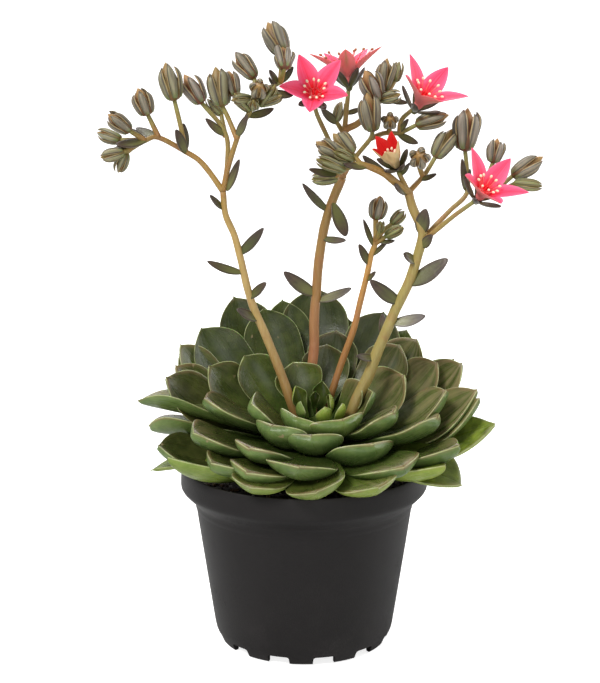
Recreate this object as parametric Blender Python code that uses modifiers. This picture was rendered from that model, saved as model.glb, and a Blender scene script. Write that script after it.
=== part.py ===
"""Potted graptopetalum: a thick-leaved rosette with four flower stalks in a black nursery pot.

Lengths in the lists are millimetres, measured from the pot's axis at the level it stands on.
X runs to the right, Y away from the viewer and Z up. The last step puts the origin under the
middle of the whole plant's bounding box.
"""
import math

import bmesh
import bpy
from mathutils import Matrix, Vector

MM = 0.001
CLEARANCE = 0.35
SUNK_ROOT = 1.0
FLAT_DEGREES = 1.0

# Pot: a moulded nursery pot of 12 cm
RIM_RADIUS = 60.0
RIM_HEIGHT = 88.6
COLLAR_RADIUS = 53.6
COLLAR_HEIGHT = 71.2
WALL = 1.3
FOOT_RADIUS = 41.4
FOOT_WIDTH = 2.4
FOOT_HEIGHT = 4.2
FOOT_NOTCHES = 12
FOOT_NOTCH_WIDTH = 10.5
FIRST_NOTCH_ANGLE = -77.0
DRAIN_HOLES = 4
DRAIN_SIDES = 8
DRAIN_RADIUS = 3.5
DRAIN_RING_RADIUS = 25.0
POT_STEPS = 32
SOIL_STEPS = 24

SOIL_HEIGHT = 80.5
SOIL_LUMP = 1.2

# Rosette: its growing point, and how far the whole rosette leans towards the viewer
GROWING_POINT = (6.0, -5.0, 113.0)
LEAN_DEGREES = 22.0
LEAF_ROOT_RADIUS = 5.0
LEAF_THICKNESS = 6.6
LEAF_CUP = 0.22
LEAF_BEND = 0.62
LEAF_SAG = 0.30
LEAF_SAG_STEP = 0.03
LEAF_LEAST_SAG = -0.4
LEAF_OVER_SOIL = 0.6
LEAF_OVER_RIM = 0.4
STEM_SURROUND = 12.0
STEM_ROUTE = [(6, 10, 56), (6, 10, 82), (6, 5, 94), (6, -1, 105), (6, -4, 111)]
STEM_RADII = [4.0, 8.0, 9.0, 8.0, 2.5]

# Leaf tips about the growing point: azimuth in degrees, reach, rise and the leaf's width
HEART_LEAVES = [(75, 10, 14, 7.5), (136, 14, 11, 8), (15, 6, 12, 6), (-62, 8, 11, 7), (-160, 8, 11, 7), (100, 4, 12, 4)]
SMALL_LEAVES = [(117, 30, 13, 19), (28, 24, 13, 15), (5, 27, 13, 16), (-57, 22, 12, 21), (-120, 19, 12, 20)]
MIDDLE_LEAVES = [(-166, 32, 13, 18), (-136, 33, 13, 22), (-95, 32, 13, 27), (-22, 39, 13, 24),
                 (19, 45, 14, 24), (82, 41, 14, 21), (139, 47, 14, 22), (111, 75, 16, 25)]
LARGE_LEAVES = [(157, 57, 14, 23), (-175, 54, 13, 26), (-126, 53, 13, 28), (-56, 46, 13, 30),
                (-20, 60, 14, 28), (1, 62, 15, 26), (43, 57, 15, 23), (62, 74, 17, 25),
                (79, 54, 14, 24), (138, 78, 16, 27)]
OUTER_LEAVES = [(168, 75, 12, 26), (-154, 63, 12, 26), (-137, 68, 9, 18), (-120, 64, 12, 28),
                (-99, 60, 12, 30), (-52, 66, 13, 32), (-29, 76, 12, 26), (2, 77, 14, 28),
                (22, 64, 15, 24), (18, 75, 15, 24), (41, 67, 15, 24), (-1, 78, 12, 22),
                (118, 90, 17, 28), (102, 83, 14, 24), (91, 88, 17, 30), (149, 79, 14, 24),
                (158, 75, 10, 22)]
LOWEST_LEAVES = [(172, 88, 0, 20), (178, 80, -8, 16), (-167, 77, 0, 26), (-171, 82, -20, 12),
                 (-161, 76, -5, 24), (-146, 70, 0, 26), (-130, 70, 3, 26), (-117, 70, 8, 26),
                 (-90, 70, 11, 27), (-64, 70, 11, 27), (-42, 74, 5, 26), (-4, 86, 0, 24), (-31, 80, -4, 24)]
HIDDEN_LEAVES = 6
HIDDEN_FIRST_AZIMUTH = 32.0
HIDDEN_AZIMUTH_STEP = 23.0
HIDDEN_REACH = 82.0
HIDDEN_WIDTH = 25.0

# Left flower stalk
LEFT_STALK = [(-1, 3, 105), (-4, 2, 112), (-7, 2, 120), (-10, 2, 129), (-14, 1, 140), (-19, 0, 153),
              (-24, -1, 165), (-27, -2, 175), (-30, -3, 189), (-33, -4, 201), (-37, -5, 211), (-38, -6, 222)]
LEFT_ARM = [(-38, -6, 222), (-44, -7, 231), (-49, -8, 237), (-55, -9, 241), (-67, -13, 248),
            (-73, -16, 247), (-80, -18, 243)]
LEFT_TWIGS = [
    [(-38, -6, 222), (-36, -3, 235), (-37, 0, 249), (-48, 0, 263)],
    [(-38, -6, 222), (-35, -9, 235), (-30, -12, 250), (-25, -14, 260), (-20, -12, 268), (-11, -10, 273)],
    [(-55, -9, 241), (-57, -9, 252), (-60, -8, 265)], [(-67, -13, 248), (-72, -14, 259)],
    [(-73, -16, 247), (-80, -20, 252)], [(-75, -16, 247), (-85, -13, 247)],
    [(-79, -18, 244), (-83, -21, 242)], [(-79, -18, 244), (-82, -17, 241)],
    [(-37, 0, 247), (-39, 5, 257)], [(-31, -12, 247), (-35, -8, 256), (-38, -6, 262)],
    [(-25, -14, 260), (-32, -6, 267)], [(-22, -13, 265), (-23, -8, 275)],
    [(-22, -13, 264), (-25, -16, 266)], [(-20, -12, 267), (-21, -17, 269)],
    [(-22, -13, 263), (-19, -15, 264)], [(-11, -10, 273), (-10, -4, 286)], [(-11, -10, 273), (-9, -16, 280)],
]
LEFT_BUDS = [
    ((-60, -8, 265), (-64, -6, 282), 11.3), ((-72, -14, 259), (-76, -16, 271), 9.9),
    ((-80, -20, 252), (-89, -25, 260), 8.0), ((-85, -13, 247), (-96, -9, 250), 7.0),
    ((-83, -21, 242), (-93, -24, 240), 6.6), ((-82, -17, 241), (-86, -16, 232), 6.6),
    ((-48, 0, 263), (-56, 1, 276), 10.3), ((-39, 5, 257), (-46, 10, 264), 5.2),
    ((-38, -6, 262), (-41, -5, 280), 11.3), ((-32, -6, 267), (-35, -4, 278), 8.0),
    ((-23, -8, 275), (-32, -4, 286), 8.5), ((-25, -16, 266), (-33, -22, 266), 5.2),
    ((-21, -17, 269), (-20, -30, 274), 8.9), ((-10, -4, 286), (-17, -1, 300), 11.7),
    ((-9, -16, 280), (-10, -8, 289), 8.5), ((-19, -15, 264), (-10, -20, 268), 6.1),
]
LEFT_BRACTS = [
    ((-55, -10, 241), (-59, -15, 252), 4.9), ((-55, -8, 242), (-56, -6, 254), 3.8),
    ((-68, -12, 249), (-78, -9, 252), 3.8), ((-74, -15, 248), (-80, -12, 252), 2.8),
    ((-73, -17, 247), (-86, -22, 246), 4.7), ((-79, -18, 244), (-87, -21, 244), 3.3),
    ((-37, 0, 248), (-46, -4, 256), 3.8), ((-26, -14, 258), (-14, -8, 261), 3.8),
    ((-16, -11, 269), (-5, -8, 267), 4.2), ((-12, -10, 273), (-16, -15, 279), 3.3),
    ((-13, -10, 272), (-16, -19, 276), 3.3), ((-11, -10, 273), (-5, -6, 280), 2.8),
    ((-31, -12, 249), (-26, -20, 259), 3.8), ((-36, -7, 223), (-30, -12, 238), 4.2),
    ((-38, -5, 214), (-44, -10, 221), 3.3), ((-31, -3, 192), (-19, -6, 205), 4.7),
    ((-29, -3, 183), (-46, -6, 189), 4.2), ((-26, -2, 171), (-18, -7, 179), 4.7),
    ((-22, -1, 160), (-32, -6, 166), 4.7),
]

# Middle flower stalk, furthest from the viewer
MIDDLE_STALK = [(4, 8, 109), (4, 13, 121), (4, 16, 132), (5, 16, 143), (5, 15, 157), (6, 15, 170), (7, 14, 184),
                (9, 14, 198), (11, 13, 207), (14, 13, 216), (18, 12, 226)]
MIDDLE_ARM = [(18, 12, 226), (18, 12, 237), (19, 12, 248), (26, 8, 253), (35, 7, 263), (38, 8, 265)]
MIDDLE_TWIGS = [
    [(18, 12, 226), (15, 9, 237), (11, 7, 246), (6, 5, 257), (5, 4, 262)],
    [(19, 12, 247), (20, 12, 258), (21, 13, 268)], [(19, 12, 247), (15, 16, 253)],
    [(35, 7, 263), (34, 3, 264)], [(35, 7, 263), (37, 10, 268)], [(38, 8, 265), (43, 14, 272)],
    [(36, 7, 263), (36, 4, 264)],
    [(18, 12, 226), (22, 10, 233), (26, 6, 239), (31, 1, 246), (32, -1, 250)],
    [(31, 1, 246), (38, 7, 248), (45, 8, 248), (53, 6, 252)], [(45, 8, 248), (46, 9, 254), (51, 8, 259)],
    [(40, 7, 248), (40, 4, 253)],
]
MIDDLE_BUDS = [
    ((15, 16, 253), (18, 19, 262), 5.6), ((34, 3, 264), (28, -1, 278), 11.3),
    ((37, 10, 268), (39, 11, 283), 8.9), ((43, 14, 272), (45, 16, 281), 5.6),
    ((36, 4, 264), (45, -1, 267), 6.6), ((32, -1, 250), (29, -4, 268), 11.0),
    ((53, 6, 252), (68, 3, 257), 8.5), ((40, 4, 253), (40, -5, 257), 7.0),
]
MIDDLE_BRACTS = [
    ((16, 15, 252), (8, 14, 259), 3.8), ((20, 12, 257), (27, 15, 259), 2.8),
    ((12, 13, 210), (-1, 9, 224), 3.8), ((14, 11, 214), (20, 5, 199), 6.6),
    ((9, 13, 197), (20, 6, 197), 3.8), ((6, 15, 169), (-10, 10, 181), 6.1),
    ((6, 15, 166), (23, 10, 173), 4.7), ((44, 8, 248), (54, 8, 243), 3.8),
    ((45, 8, 249), (49, 5, 255), 2.8), ((37, 8, 265), (49, 9, 262), 3.3),
]

# Small flower stalk, still young
SMALL_STALK = [(9, 4, 107), (11, 6, 113), (13, 6, 120), (16, 6, 130), (20, 6, 142), (24, 5, 154), (27, 5, 167),
               (30, 4, 180), (32, 4, 190), (34, 3, 197), (34, 3, 208)]
SMALL_TWIGS = [[(34, 3, 197), (38, 5, 202), (42, 6, 205)], [(34, 3, 196), (39, 0, 200)],
               [(34, 3, 197), (36, -2, 203)]]
SMALL_BUDS = [((34, 3, 208), (36, 3, 219), 9.4), ((42, 6, 205), (48, 8, 211), 6.1),
              ((39, 0, 200), (47, -3, 205), 5.6), ((36, -2, 203), (36, -7, 208), 4.2)]
SMALL_BRACTS = [((33, 3, 195), (28, 1, 208), 2.8), ((31, 4, 186), (26, 1, 196), 4.2),
                ((30, 4, 178), (34, 0, 183), 2.6), ((32, 4, 190), (40, 1, 198), 2.6),
                ((36, 2, 197), (43, -1, 198), 2.4)]

# Right flower stalk
RIGHT_STALK = [(20, -1, 106), (21, -2, 109), (23, -3, 114), (26, -2, 122), (31, -1, 132), (35, 0, 143), (40, 0, 155),
               (44, 0, 165), (50, -1, 178), (54, -1, 191), (56, -2, 200), (55, -2, 205), (51, -2, 214), (49, -2, 221)]
RIGHT_ARM = [(49, -2, 221), (43, -6, 226), (37, -10, 231), (29, -14, 235), (24, -16, 236), (15, -19, 232)]
RIGHT_TWIGS = [
    [(56, -2, 199), (61, -1, 204), (69, 1, 212), (77, 3, 220), (77, 5, 231), (76, 6, 240)],
    [(56, -2, 198), (60, -6, 202), (70, -9, 211), (79, -11, 218)],
    [(26, -15, 236), (22, -14, 241)], [(21, -17, 235), (16, -17, 240)], [(19, -18, 234), (18, -20, 234)],
    [(15, -19, 232), (15, -17, 230)], [(49, -2, 221), (45, -5, 229), (44, -6, 231)],
    [(49, -2, 221), (56, 2, 228), (59, 4, 232), (62, 5, 237)], [(56, 2, 228), (54, -1, 233), (54, -2, 236)],
    [(79, -11, 218), (83, -4, 223), (87, 1, 230), (89, 2, 235)],
    [(79, -11, 218), (84, -5, 219), (91, -2, 223), (98, -2, 229)], [(84, -5, 219), (91, -6, 222), (98, -8, 226)],
]
RIGHT_BUDS = [
    ((22, -14, 241), (13, -13, 250), 9.9), ((16, -17, 240), (5, -20, 247), 8.0),
    ((18, -20, 234), (5, -27, 240), 6.1), ((15, -17, 230), (3, -16, 229), 6.6),
    ((62, 5, 237), (70, 8, 250), 9.4), ((54, -2, 236), (52, -14, 241), 8.9),
    ((76, 6, 240), (77, 8, 260), 12.7), ((89, 2, 235), (91, 4, 246), 8.5),
    ((98, -2, 229), (112, -2, 238), 9.4), ((98, -8, 226), (111, -10, 225), 6.1),
]
RIGHT_BRACTS = [
    ((15, -19, 232), (2, -25, 235), 3.8), ((29, -14, 235), (18, -23, 237), 3.8),
    ((48, -3, 221), (42, -10, 226), 4.2), ((55, 1, 227), (62, -3, 230), 2.8),
    ((76, 3, 222), (74, -1, 237), 3.8), ((77, 4, 224), (78, 0, 232), 2.3),
    ((56, -3, 196), (60, -9, 202), 4.7), ((55, -2, 202), (57, -6, 214), 6.6),
    ((53, -1, 188), (47, -7, 193), 4.7), ((50, -1, 177), (68, -5, 190), 8.0),
    ((46, 0, 168), (31, -6, 180), 6.1), ((42, 0, 158), (58, -3, 162), 5.6),
    ((34, 0, 141), (25, -6, 143), 3.8), ((38, 1, 150), (38, 7, 161), 4.7),
    ((45, -5, 230), (49, -9, 236), 2.3), ((39, -9, 230), (27, -6, 239), 4.2),
    ((80, -10, 218), (89, -3, 226), 2.3),
]

# Flowers: the seat on the receptacle, the way the flower looks, its tube and petals, how far the
# petals and sepals open from that way, and the turn of the first petal
FLOWER_A = {"seat": (5, 2, 265), "looks": (0.0, -0.79, 0.61), "tube": 5.0, "petal": 18.0,
            "opening": 63, "sepal": 13.0, "sepal_opening": 52, "spin": 45}
FLOWER_B = {"seat": (21, 13, 271), "looks": (0.08, 0.10, 0.99), "tube": 6.0, "petal": 17.0,
            "opening": 64, "sepal": 12.0, "sepal_opening": 42, "spin": 27}
FLOWER_C = {"seat": (53, 8, 260), "looks": (0.44, -0.42, 0.79), "tube": 8.0, "petal": 19.0,
            "opening": 62, "sepal": 14.0, "sepal_opening": 50, "spin": 23}
FLOWER_D = {"seat": (43, -6, 234), "looks": (-0.36, -0.36, 0.86), "tube": 6.0, "petal": 13.0,
            "opening": 26, "sepal": 11.0, "sepal_opening": 42, "spin": 10}
FLOWER_E = {"seat": (81, -13, 220), "looks": (0.41, -0.55, 0.73), "tube": 7.0, "petal": 20.0,
            "opening": 63, "sepal": 14.0, "sepal_opening": 50, "spin": 30}
PETALS = 5
PETAL_WIDTH = 0.44
PETAL_THICKNESS = 1.1
TUBE_RADIUS = 3.0
TUBE_FOOT_RADIUS = 1.7
CARPEL_HEIGHT = 2.0
STAMENS = 10
STAMEN_RING = 6.0
STAMEN_HEIGHT = 3.5
STAMEN_RADII = (0.4, 0.6)
STAMEN_SIDES = 3
RECEPTACLE_RADIUS = 2.3
RECEPTACLE_DEPTH = 3.5
SEPAL_DEPTH = 2.2
SEPAL_WIDTH = 4.4
SEPAL_THICKNESS = 1.6

# Buds, bracts and twigs
BUD_RADII = [0.0, 0.82, 1.0, 0.72, 0.0]
BUD_HEIGHTS = [0.0, 0.13, 0.46, 0.78, 1.0]
BUD_GROOVE = 0.13
LARGE_BUD = 7.5
LARGE_BRACT = 4.5
BRACT_FACE = (0.0, -0.8, 0.6)
BRACT_SAG = 0.12
BRACT_THICKNESS = 0.45
LEAST_BRACT_THICKNESS = 1.4
ARM_TIP_RADIUS = 1.1
TWIG_RADII = (1.35, 1.05)

# Radius of each flower stalk at its foot and at its top
LEFT_RADII = (2.6, 1.4)
MIDDLE_RADII = (2.5, 2.2)
SMALL_RADII = (1.8, 1.3)
RIGHT_RADII = (3.0, 2.1)


def clear_scene():
    for leftover in list(bpy.context.scene.objects):
        bpy.data.objects.remove(leftover, do_unlink=True)


def new_collection(name):
    collection = bpy.data.collections.new(name)
    bpy.context.scene.collection.children.link(collection)
    return collection


def new_material(name, colour, roughness):
    material = bpy.data.materials.new(name)
    material.use_nodes = True
    shader = material.node_tree.nodes["Principled BSDF"]
    shader.inputs["Base Color"].default_value = (*colour, 1.0)
    shader.inputs["Roughness"].default_value = roughness
    shader.inputs["Metallic"].default_value = 0.0
    return material


def new_object(name, mesh, collection, material=None):
    piece = bpy.data.objects.new(name, mesh)
    collection.objects.link(piece)
    if material:
        mesh.materials.clear()
        mesh.materials.append(material)
    return piece


def mesh_from(shape, name):
    mesh = bpy.data.meshes.new(name)
    shape.to_mesh(mesh)
    shape.free()
    return mesh


def millimetres(point):
    return Vector(point) * MM


def turned(name, profile, collection, steps):
    """A round solid from a profile that starts and ends on the axis, outer side top to bottom."""
    line = bmesh.new()
    corners = [line.verts.new((radius * MM, 0.0, height * MM)) for radius, height in profile]
    for first, second in zip(corners, corners[1:]):
        line.edges.new((first, second))
    piece = new_object(name, mesh_from(line, name), collection)
    screw = piece.modifiers.new("turn", "SCREW")
    screw.steps = steps
    screw.render_steps = steps
    screw.use_merge_vertices = True
    screw.merge_threshold = 0.0001
    screw.use_smooth_shade = True
    return piece


def applied_mesh(piece, name):
    """The piece's mesh as its modifiers leave it."""
    graph = bpy.context.evaluated_depsgraph_get()
    graph.update()
    return bpy.data.meshes.new_from_object(piece.evaluated_get(graph), depsgraph=graph)


def tube(route, radii, collection, resolution=1):
    """A solid tube through hand-placed points, with a radius in millimetres at each."""
    curve = bpy.data.curves.new("tube", "CURVE")
    curve.dimensions = "3D"
    curve.bevel_depth = MM
    curve.bevel_resolution = resolution
    curve.use_fill_caps = True
    spline = curve.splines.new("POLY")
    spline.points.add(len(route) - 1)
    for point, place, radius in zip(spline.points, route, radii):
        point.co = (*millimetres(place), 1.0)
        point.radius = radius
    guide = bpy.data.objects.new("tube", curve)
    collection.objects.link(guide)
    mesh = applied_mesh(guide, "tube")
    bpy.data.objects.remove(guide, do_unlink=True)
    welded = bmesh.new()
    welded.from_mesh(mesh)
    bmesh.ops.remove_doubles(welded, verts=welded.verts, dist=0.00001)
    bmesh.ops.recalc_face_normals(welded, faces=welded.faces)
    welded.to_mesh(mesh)
    welded.free()
    return new_object("tube", mesh, collection)


def spike(name, foot, head, foot_radius, head_radius, sides, collection):
    """A straight, tapered rod with flat ends."""
    length = (head - foot).length
    rod = bmesh.new()
    bmesh.ops.create_cone(rod, cap_ends=True, segments=sides, radius1=foot_radius * MM,
                          radius2=head_radius * MM, depth=length)
    stand = Matrix.Translation(foot) @ (head - foot).to_track_quat("Z", "Y").to_matrix().to_4x4()
    bmesh.ops.transform(rod, matrix=stand @ Matrix.Translation((0.0, 0.0, length / 2.0)), verts=rod.verts)
    return new_object(name, mesh_from(rod, name), collection)


def taper(first, last, count):
    return [first + (last - first) * step / (count - 1) for step in range(count)]


def leaf_outline(along):
    """Half width of a spoon-shaped leaf, widest at three quarters, with a small point."""
    widest = 0.72
    if along < widest:
        rise = along / widest
        return (0.26 + 0.74 * rise * rise * (3.0 - 2.0 * rise)) * min(1.0, along * 12.0)
    fall = (along - widest) / (1.0 - widest)
    return (1.0 - fall ** 3.0) ** 0.6


def clears_pot(mesh):
    """Whether a leaf passes over the rim and stays above the soil inside it."""
    for edge in mesh.edges:
        first, second = (mesh.vertices[number].co / MM for number in edge.vertices)
        for step in range(9):
            place = first.lerp(second, step / 8.0)
            distance = math.hypot(place.x, place.y)
            floor = SOIL_HEIGHT + SOIL_LUMP + LEAF_OVER_SOIL
            if distance > RIM_RADIUS - 2.0 * WALL - LEAF_OVER_RIM:
                floor = RIM_HEIGHT + LEAF_OVER_RIM
            if STEM_SURROUND < distance < RIM_RADIUS + WALL and place.z < floor:
                return False
    return True


def bract_outline(along):
    """Half width of a bract or sepal: boat-shaped, widest past the middle, pointed."""
    return math.sin(math.pi * along ** 0.85) ** 0.75 if 0.0 < along < 1.0 else 0.0


def petal_outline(along):
    """Half width of a lance-shaped petal: narrow in the tube, widest past it, with a long point."""
    widest = 0.60
    if along < widest:
        return (0.45 + 0.55 * math.sin(math.pi * along / (2.0 * widest))) * min(1.0, along * 12.0)
    return max(0.0, 1.0 - ((along - widest) / (1.0 - widest)) ** 1.7)


def blade(root, bend, tip, face, width, thickness, outline, cup=0.0, sides=5, rings=5):
    """A fleshy blade: a sphere drawn out along a bent line, with its keel turned away from face."""
    side_axis = face.cross(tip - root).normalized()
    shape = bmesh.new()
    bmesh.ops.create_uvsphere(shape, u_segments=sides, v_segments=rings, radius=1.0)
    for corner in shape.verts:
        turn = math.acos(max(-1.0, min(1.0, -corner.co.z))) / math.pi
        along = math.sin(turn * math.pi / 2.0)
        around = math.hypot(corner.co.x, corner.co.y)
        across = corner.co.y / around if around > 0.001 else 0.0
        upward = -corner.co.x / around if around > 0.001 else 0.0
        back = 1.0 - along
        middle = root * back * back + bend * 2.0 * along * back + tip * along * along
        way = ((bend - root) * back + (tip - bend) * along).normalized()
        half = 0.5 * width * outline(along)
        share = 0.35 if upward > 0.0 else 0.65
        lift = cup * half * across ** 2 + share * thickness * upward * outline(along) ** 0.5
        corner.co = middle + side_axis * half * across + way.cross(side_axis) * lift
    return mesh_from(shape, "blade")


def leaf_frame():
    """From the rosette's own axes, with its heart at the origin, to the pot's."""
    return Matrix.Translation(millimetres(GROWING_POINT)) @ Matrix.Rotation(math.radians(LEAN_DEGREES), 4, "X")


def leaf(azimuth, reach, rise, width):
    """One leaf of the rosette, rooted lower on the stem the further it reaches."""
    frame = leaf_frame()
    outward = Vector((math.cos(math.radians(azimuth)), math.sin(math.radians(azimuth)), 0.0))
    root_height = -2.0 - 0.22 * reach
    root = frame @ (outward * LEAF_ROOT_RADIUS * MM + Vector((0.0, 0.0, root_height * MM)))
    tip = frame @ (outward * reach * MM + Vector((0.0, 0.0, rise * MM)))
    face = frame.to_3x3() @ (Vector((0.0, 0.0, 1.0)) - 0.5 * outward)
    thickness = LEAF_THICKNESS * min(1.0, 0.35 + reach / 45.0)
    length = (tip - root).length
    upward = (tip - root).cross(face.cross(tip - root)).normalized()
    sag = LEAF_SAG
    while True:
        bend = root.lerp(tip, LEAF_BEND) - upward * sag * length
        shape = blade(root, bend, tip, face, width * MM, thickness * MM, leaf_outline, LEAF_CUP)
        if clears_pot(shape) or sag < LEAF_LEAST_SAG:
            return shape
        sag -= LEAF_SAG_STEP


def bract(foot, tip, width):
    """A small fleshy leaf on a flower stalk, its upper side turned up and to the front."""
    start = millimetres(foot)
    end = millimetres(tip)
    along = (end - start).normalized()
    start -= along * SUNK_ROOT * MM
    thickness = max(LEAST_BRACT_THICKNESS, BRACT_THICKNESS * width)
    bend = start.lerp(end, 0.5) - Vector((0.0, 0.0, BRACT_SAG * (end - start).length))
    return blade(start, bend, end, Vector(BRACT_FACE), width * MM, thickness * MM, bract_outline,
                 sides=4, rings=4 if width > LARGE_BRACT else 3)


def bud(foot, tip, width):
    """A ribbed bud: five sepals pressed to a pointed heart that stands out past them."""
    end = millimetres(tip)
    start = millimetres(foot)
    start -= (end - start).normalized() * SUNK_ROOT * MM
    axis = end - start
    turn = Vector((0.0, 0.0, 1.0)).rotation_difference(axis)
    last = len(BUD_RADII) - 1
    sides = 2 * PETALS if width > LARGE_BUD else PETALS
    shape = bmesh.new()
    bmesh.ops.create_uvsphere(shape, u_segments=sides, v_segments=last, radius=1.0)
    for corner in shape.verts:
        ring = round(math.acos(max(-1.0, min(1.0, -corner.co.z))) / math.pi * last)
        angle = math.atan2(corner.co.y, corner.co.x)
        groove = 1.0 - BUD_GROOVE + BUD_GROOVE * math.cos(PETALS * angle)
        radius = 0.5 * width * MM * BUD_RADII[ring] * groove
        place = Vector((radius * math.cos(angle), radius * math.sin(angle), axis.length * BUD_HEIGHTS[ring]))
        corner.co = start + turn @ place
    return mesh_from(shape, "bud")


def flower_axes(flower):
    """The flower's seat, and a turn that takes its own Z to the way that it looks."""
    looks = Vector(flower["looks"]).normalized()
    turn = looks.to_track_quat("Z", "Y")
    return millimetres(flower["seat"]), turn, looks


def calyx(flower, collection):
    """Receptacle and five spreading sepals, which belong to the stalk below the petals."""
    seat, turn, looks = flower_axes(flower)
    below = seat - looks * RECEPTACLE_DEPTH * MM
    top = seat - looks * CLEARANCE * MM
    pieces = [spike("receptacle", below, top, 1.2, RECEPTACLE_RADIUS, PETALS, collection)]
    spread = math.radians(flower["sepal_opening"])
    for number in range(PETALS):
        around = math.radians(flower["spin"] + 180.0 / PETALS + 360.0 / PETALS * number)
        outward = turn @ Vector((math.cos(around), math.sin(around), 0.0))
        way = outward * math.sin(spread) + looks * math.cos(spread)
        root = seat - (looks * SEPAL_DEPTH - outward * 0.6) * MM
        tip = root + way * flower["sepal"] * MM
        bend = root.lerp(tip, 0.5) + (outward - looks) * 0.6 * MM
        sepal = blade(root, bend, tip, looks - outward * 0.2, SEPAL_WIDTH * MM, SEPAL_THICKNESS * MM,
                      bract_outline, sides=4, rings=4)
        pieces.append(new_object("sepal", sepal, collection))
    return pieces


def corolla(name, flower, collection, material):
    """Five petals joined in a short tube, with ten stamens round the cone of carpels."""
    seat, turn, looks = flower_axes(flower)
    tube_top = seat + looks * flower["tube"] * MM
    throat = seat.lerp(tube_top, 0.8)
    pieces = [spike("tube", seat, throat, TUBE_FOOT_RADIUS, TUBE_RADIUS, PETALS, collection)]
    rise = looks * CARPEL_HEIGHT * MM
    pieces.append(spike("carpels", seat + rise, tube_top + rise, 2.0, 0.6, PETALS, collection))
    spread = math.radians(flower["opening"])
    for number in range(PETALS):
        around = math.radians(flower["spin"] + 360.0 / PETALS * number)
        outward = turn @ Vector((math.cos(around), math.sin(around), 0.0))
        way = outward * math.sin(spread) + looks * math.cos(spread)
        root = seat + (looks + outward) * MM
        bend = tube_top + outward * TUBE_RADIUS * MM
        tip = tube_top + way * flower["petal"] * MM
        petal = blade(root, bend, tip, looks - outward * 0.2, PETAL_WIDTH * flower["petal"] * MM,
                      PETAL_THICKNESS * MM, petal_outline, cup=0.2, sides=4)
        pieces.append(new_object("petal", petal, collection))
    for number in range(STAMENS):
        around = math.radians(flower["spin"] + 180.0 / STAMENS + 360.0 / STAMENS * number)
        outward = turn @ Vector((math.cos(around), math.sin(around), 0.0))
        foot = seat.lerp(tube_top, 0.6) + outward * 1.4 * MM
        head = tube_top + (looks * STAMEN_HEIGHT + outward * STAMEN_RING * math.sin(spread)) * MM
        pieces.append(spike("stamen", foot, head, *STAMEN_RADII, STAMEN_SIDES, collection))
    return fuse(name, pieces, collection, material)


def fuse(name, pieces, collection, material):
    """Join overlapping pieces into one closed solid, and remove them."""
    gathered = new_collection("gathered")
    body = pieces[0]
    for piece in pieces[1:]:
        collection.objects.unlink(piece)
        gathered.objects.link(piece)
    union = body.modifiers.new("join", "BOOLEAN")
    union.operation = "UNION"
    union.solver = "MANIFOLD"
    union.operand_type = "COLLECTION"
    union.collection = gathered
    mesh = applied_mesh(body, name)
    keep_largest_body(mesh)
    joined = new_object(name, mesh, collection, material)
    for piece in pieces:
        bpy.data.objects.remove(piece, do_unlink=True)
    bpy.data.collections.remove(gathered)
    joined.data.name = name
    return joined


def cut(piece, cutter, cutters):
    """Take the cutter's shape out of a piece, and keep the cutter as a wire guide."""
    for home in list(cutter.users_collection):
        home.objects.unlink(cutter)
    cutters.objects.link(cutter)
    cutter.hide_render = True
    cutter.display_type = "WIRE"
    difference = piece.modifiers.new("cut", "BOOLEAN")
    difference.operation = "DIFFERENCE"
    difference.solver = "EXACT"
    difference.object = cutter


def keep_largest_body(mesh):
    """Drop the loose scraps that a cut leaves behind."""
    shape = bmesh.new()
    shape.from_mesh(mesh)
    unseen = set(shape.verts)
    bodies = []
    while unseen:
        body = set()
        edge_of_body = [unseen.pop()]
        while edge_of_body:
            corner = edge_of_body.pop()
            body.add(corner)
            for edge in corner.link_edges:
                other = edge.other_vert(corner)
                if other in unseen:
                    unseen.discard(other)
                    edge_of_body.append(other)
        bodies.append(body)
    largest = max(bodies, key=len)
    scraps = [corner for corner in shape.verts if corner not in largest]
    bmesh.ops.delete(shape, geom=scraps, context="VERTS")
    bmesh.ops.dissolve_limit(shape, angle_limit=math.radians(FLAT_DEGREES), verts=shape.verts, edges=shape.edges)
    bmesh.ops.triangulate(shape, faces=shape.faces)
    shape.to_mesh(mesh)
    shape.free()


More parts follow.
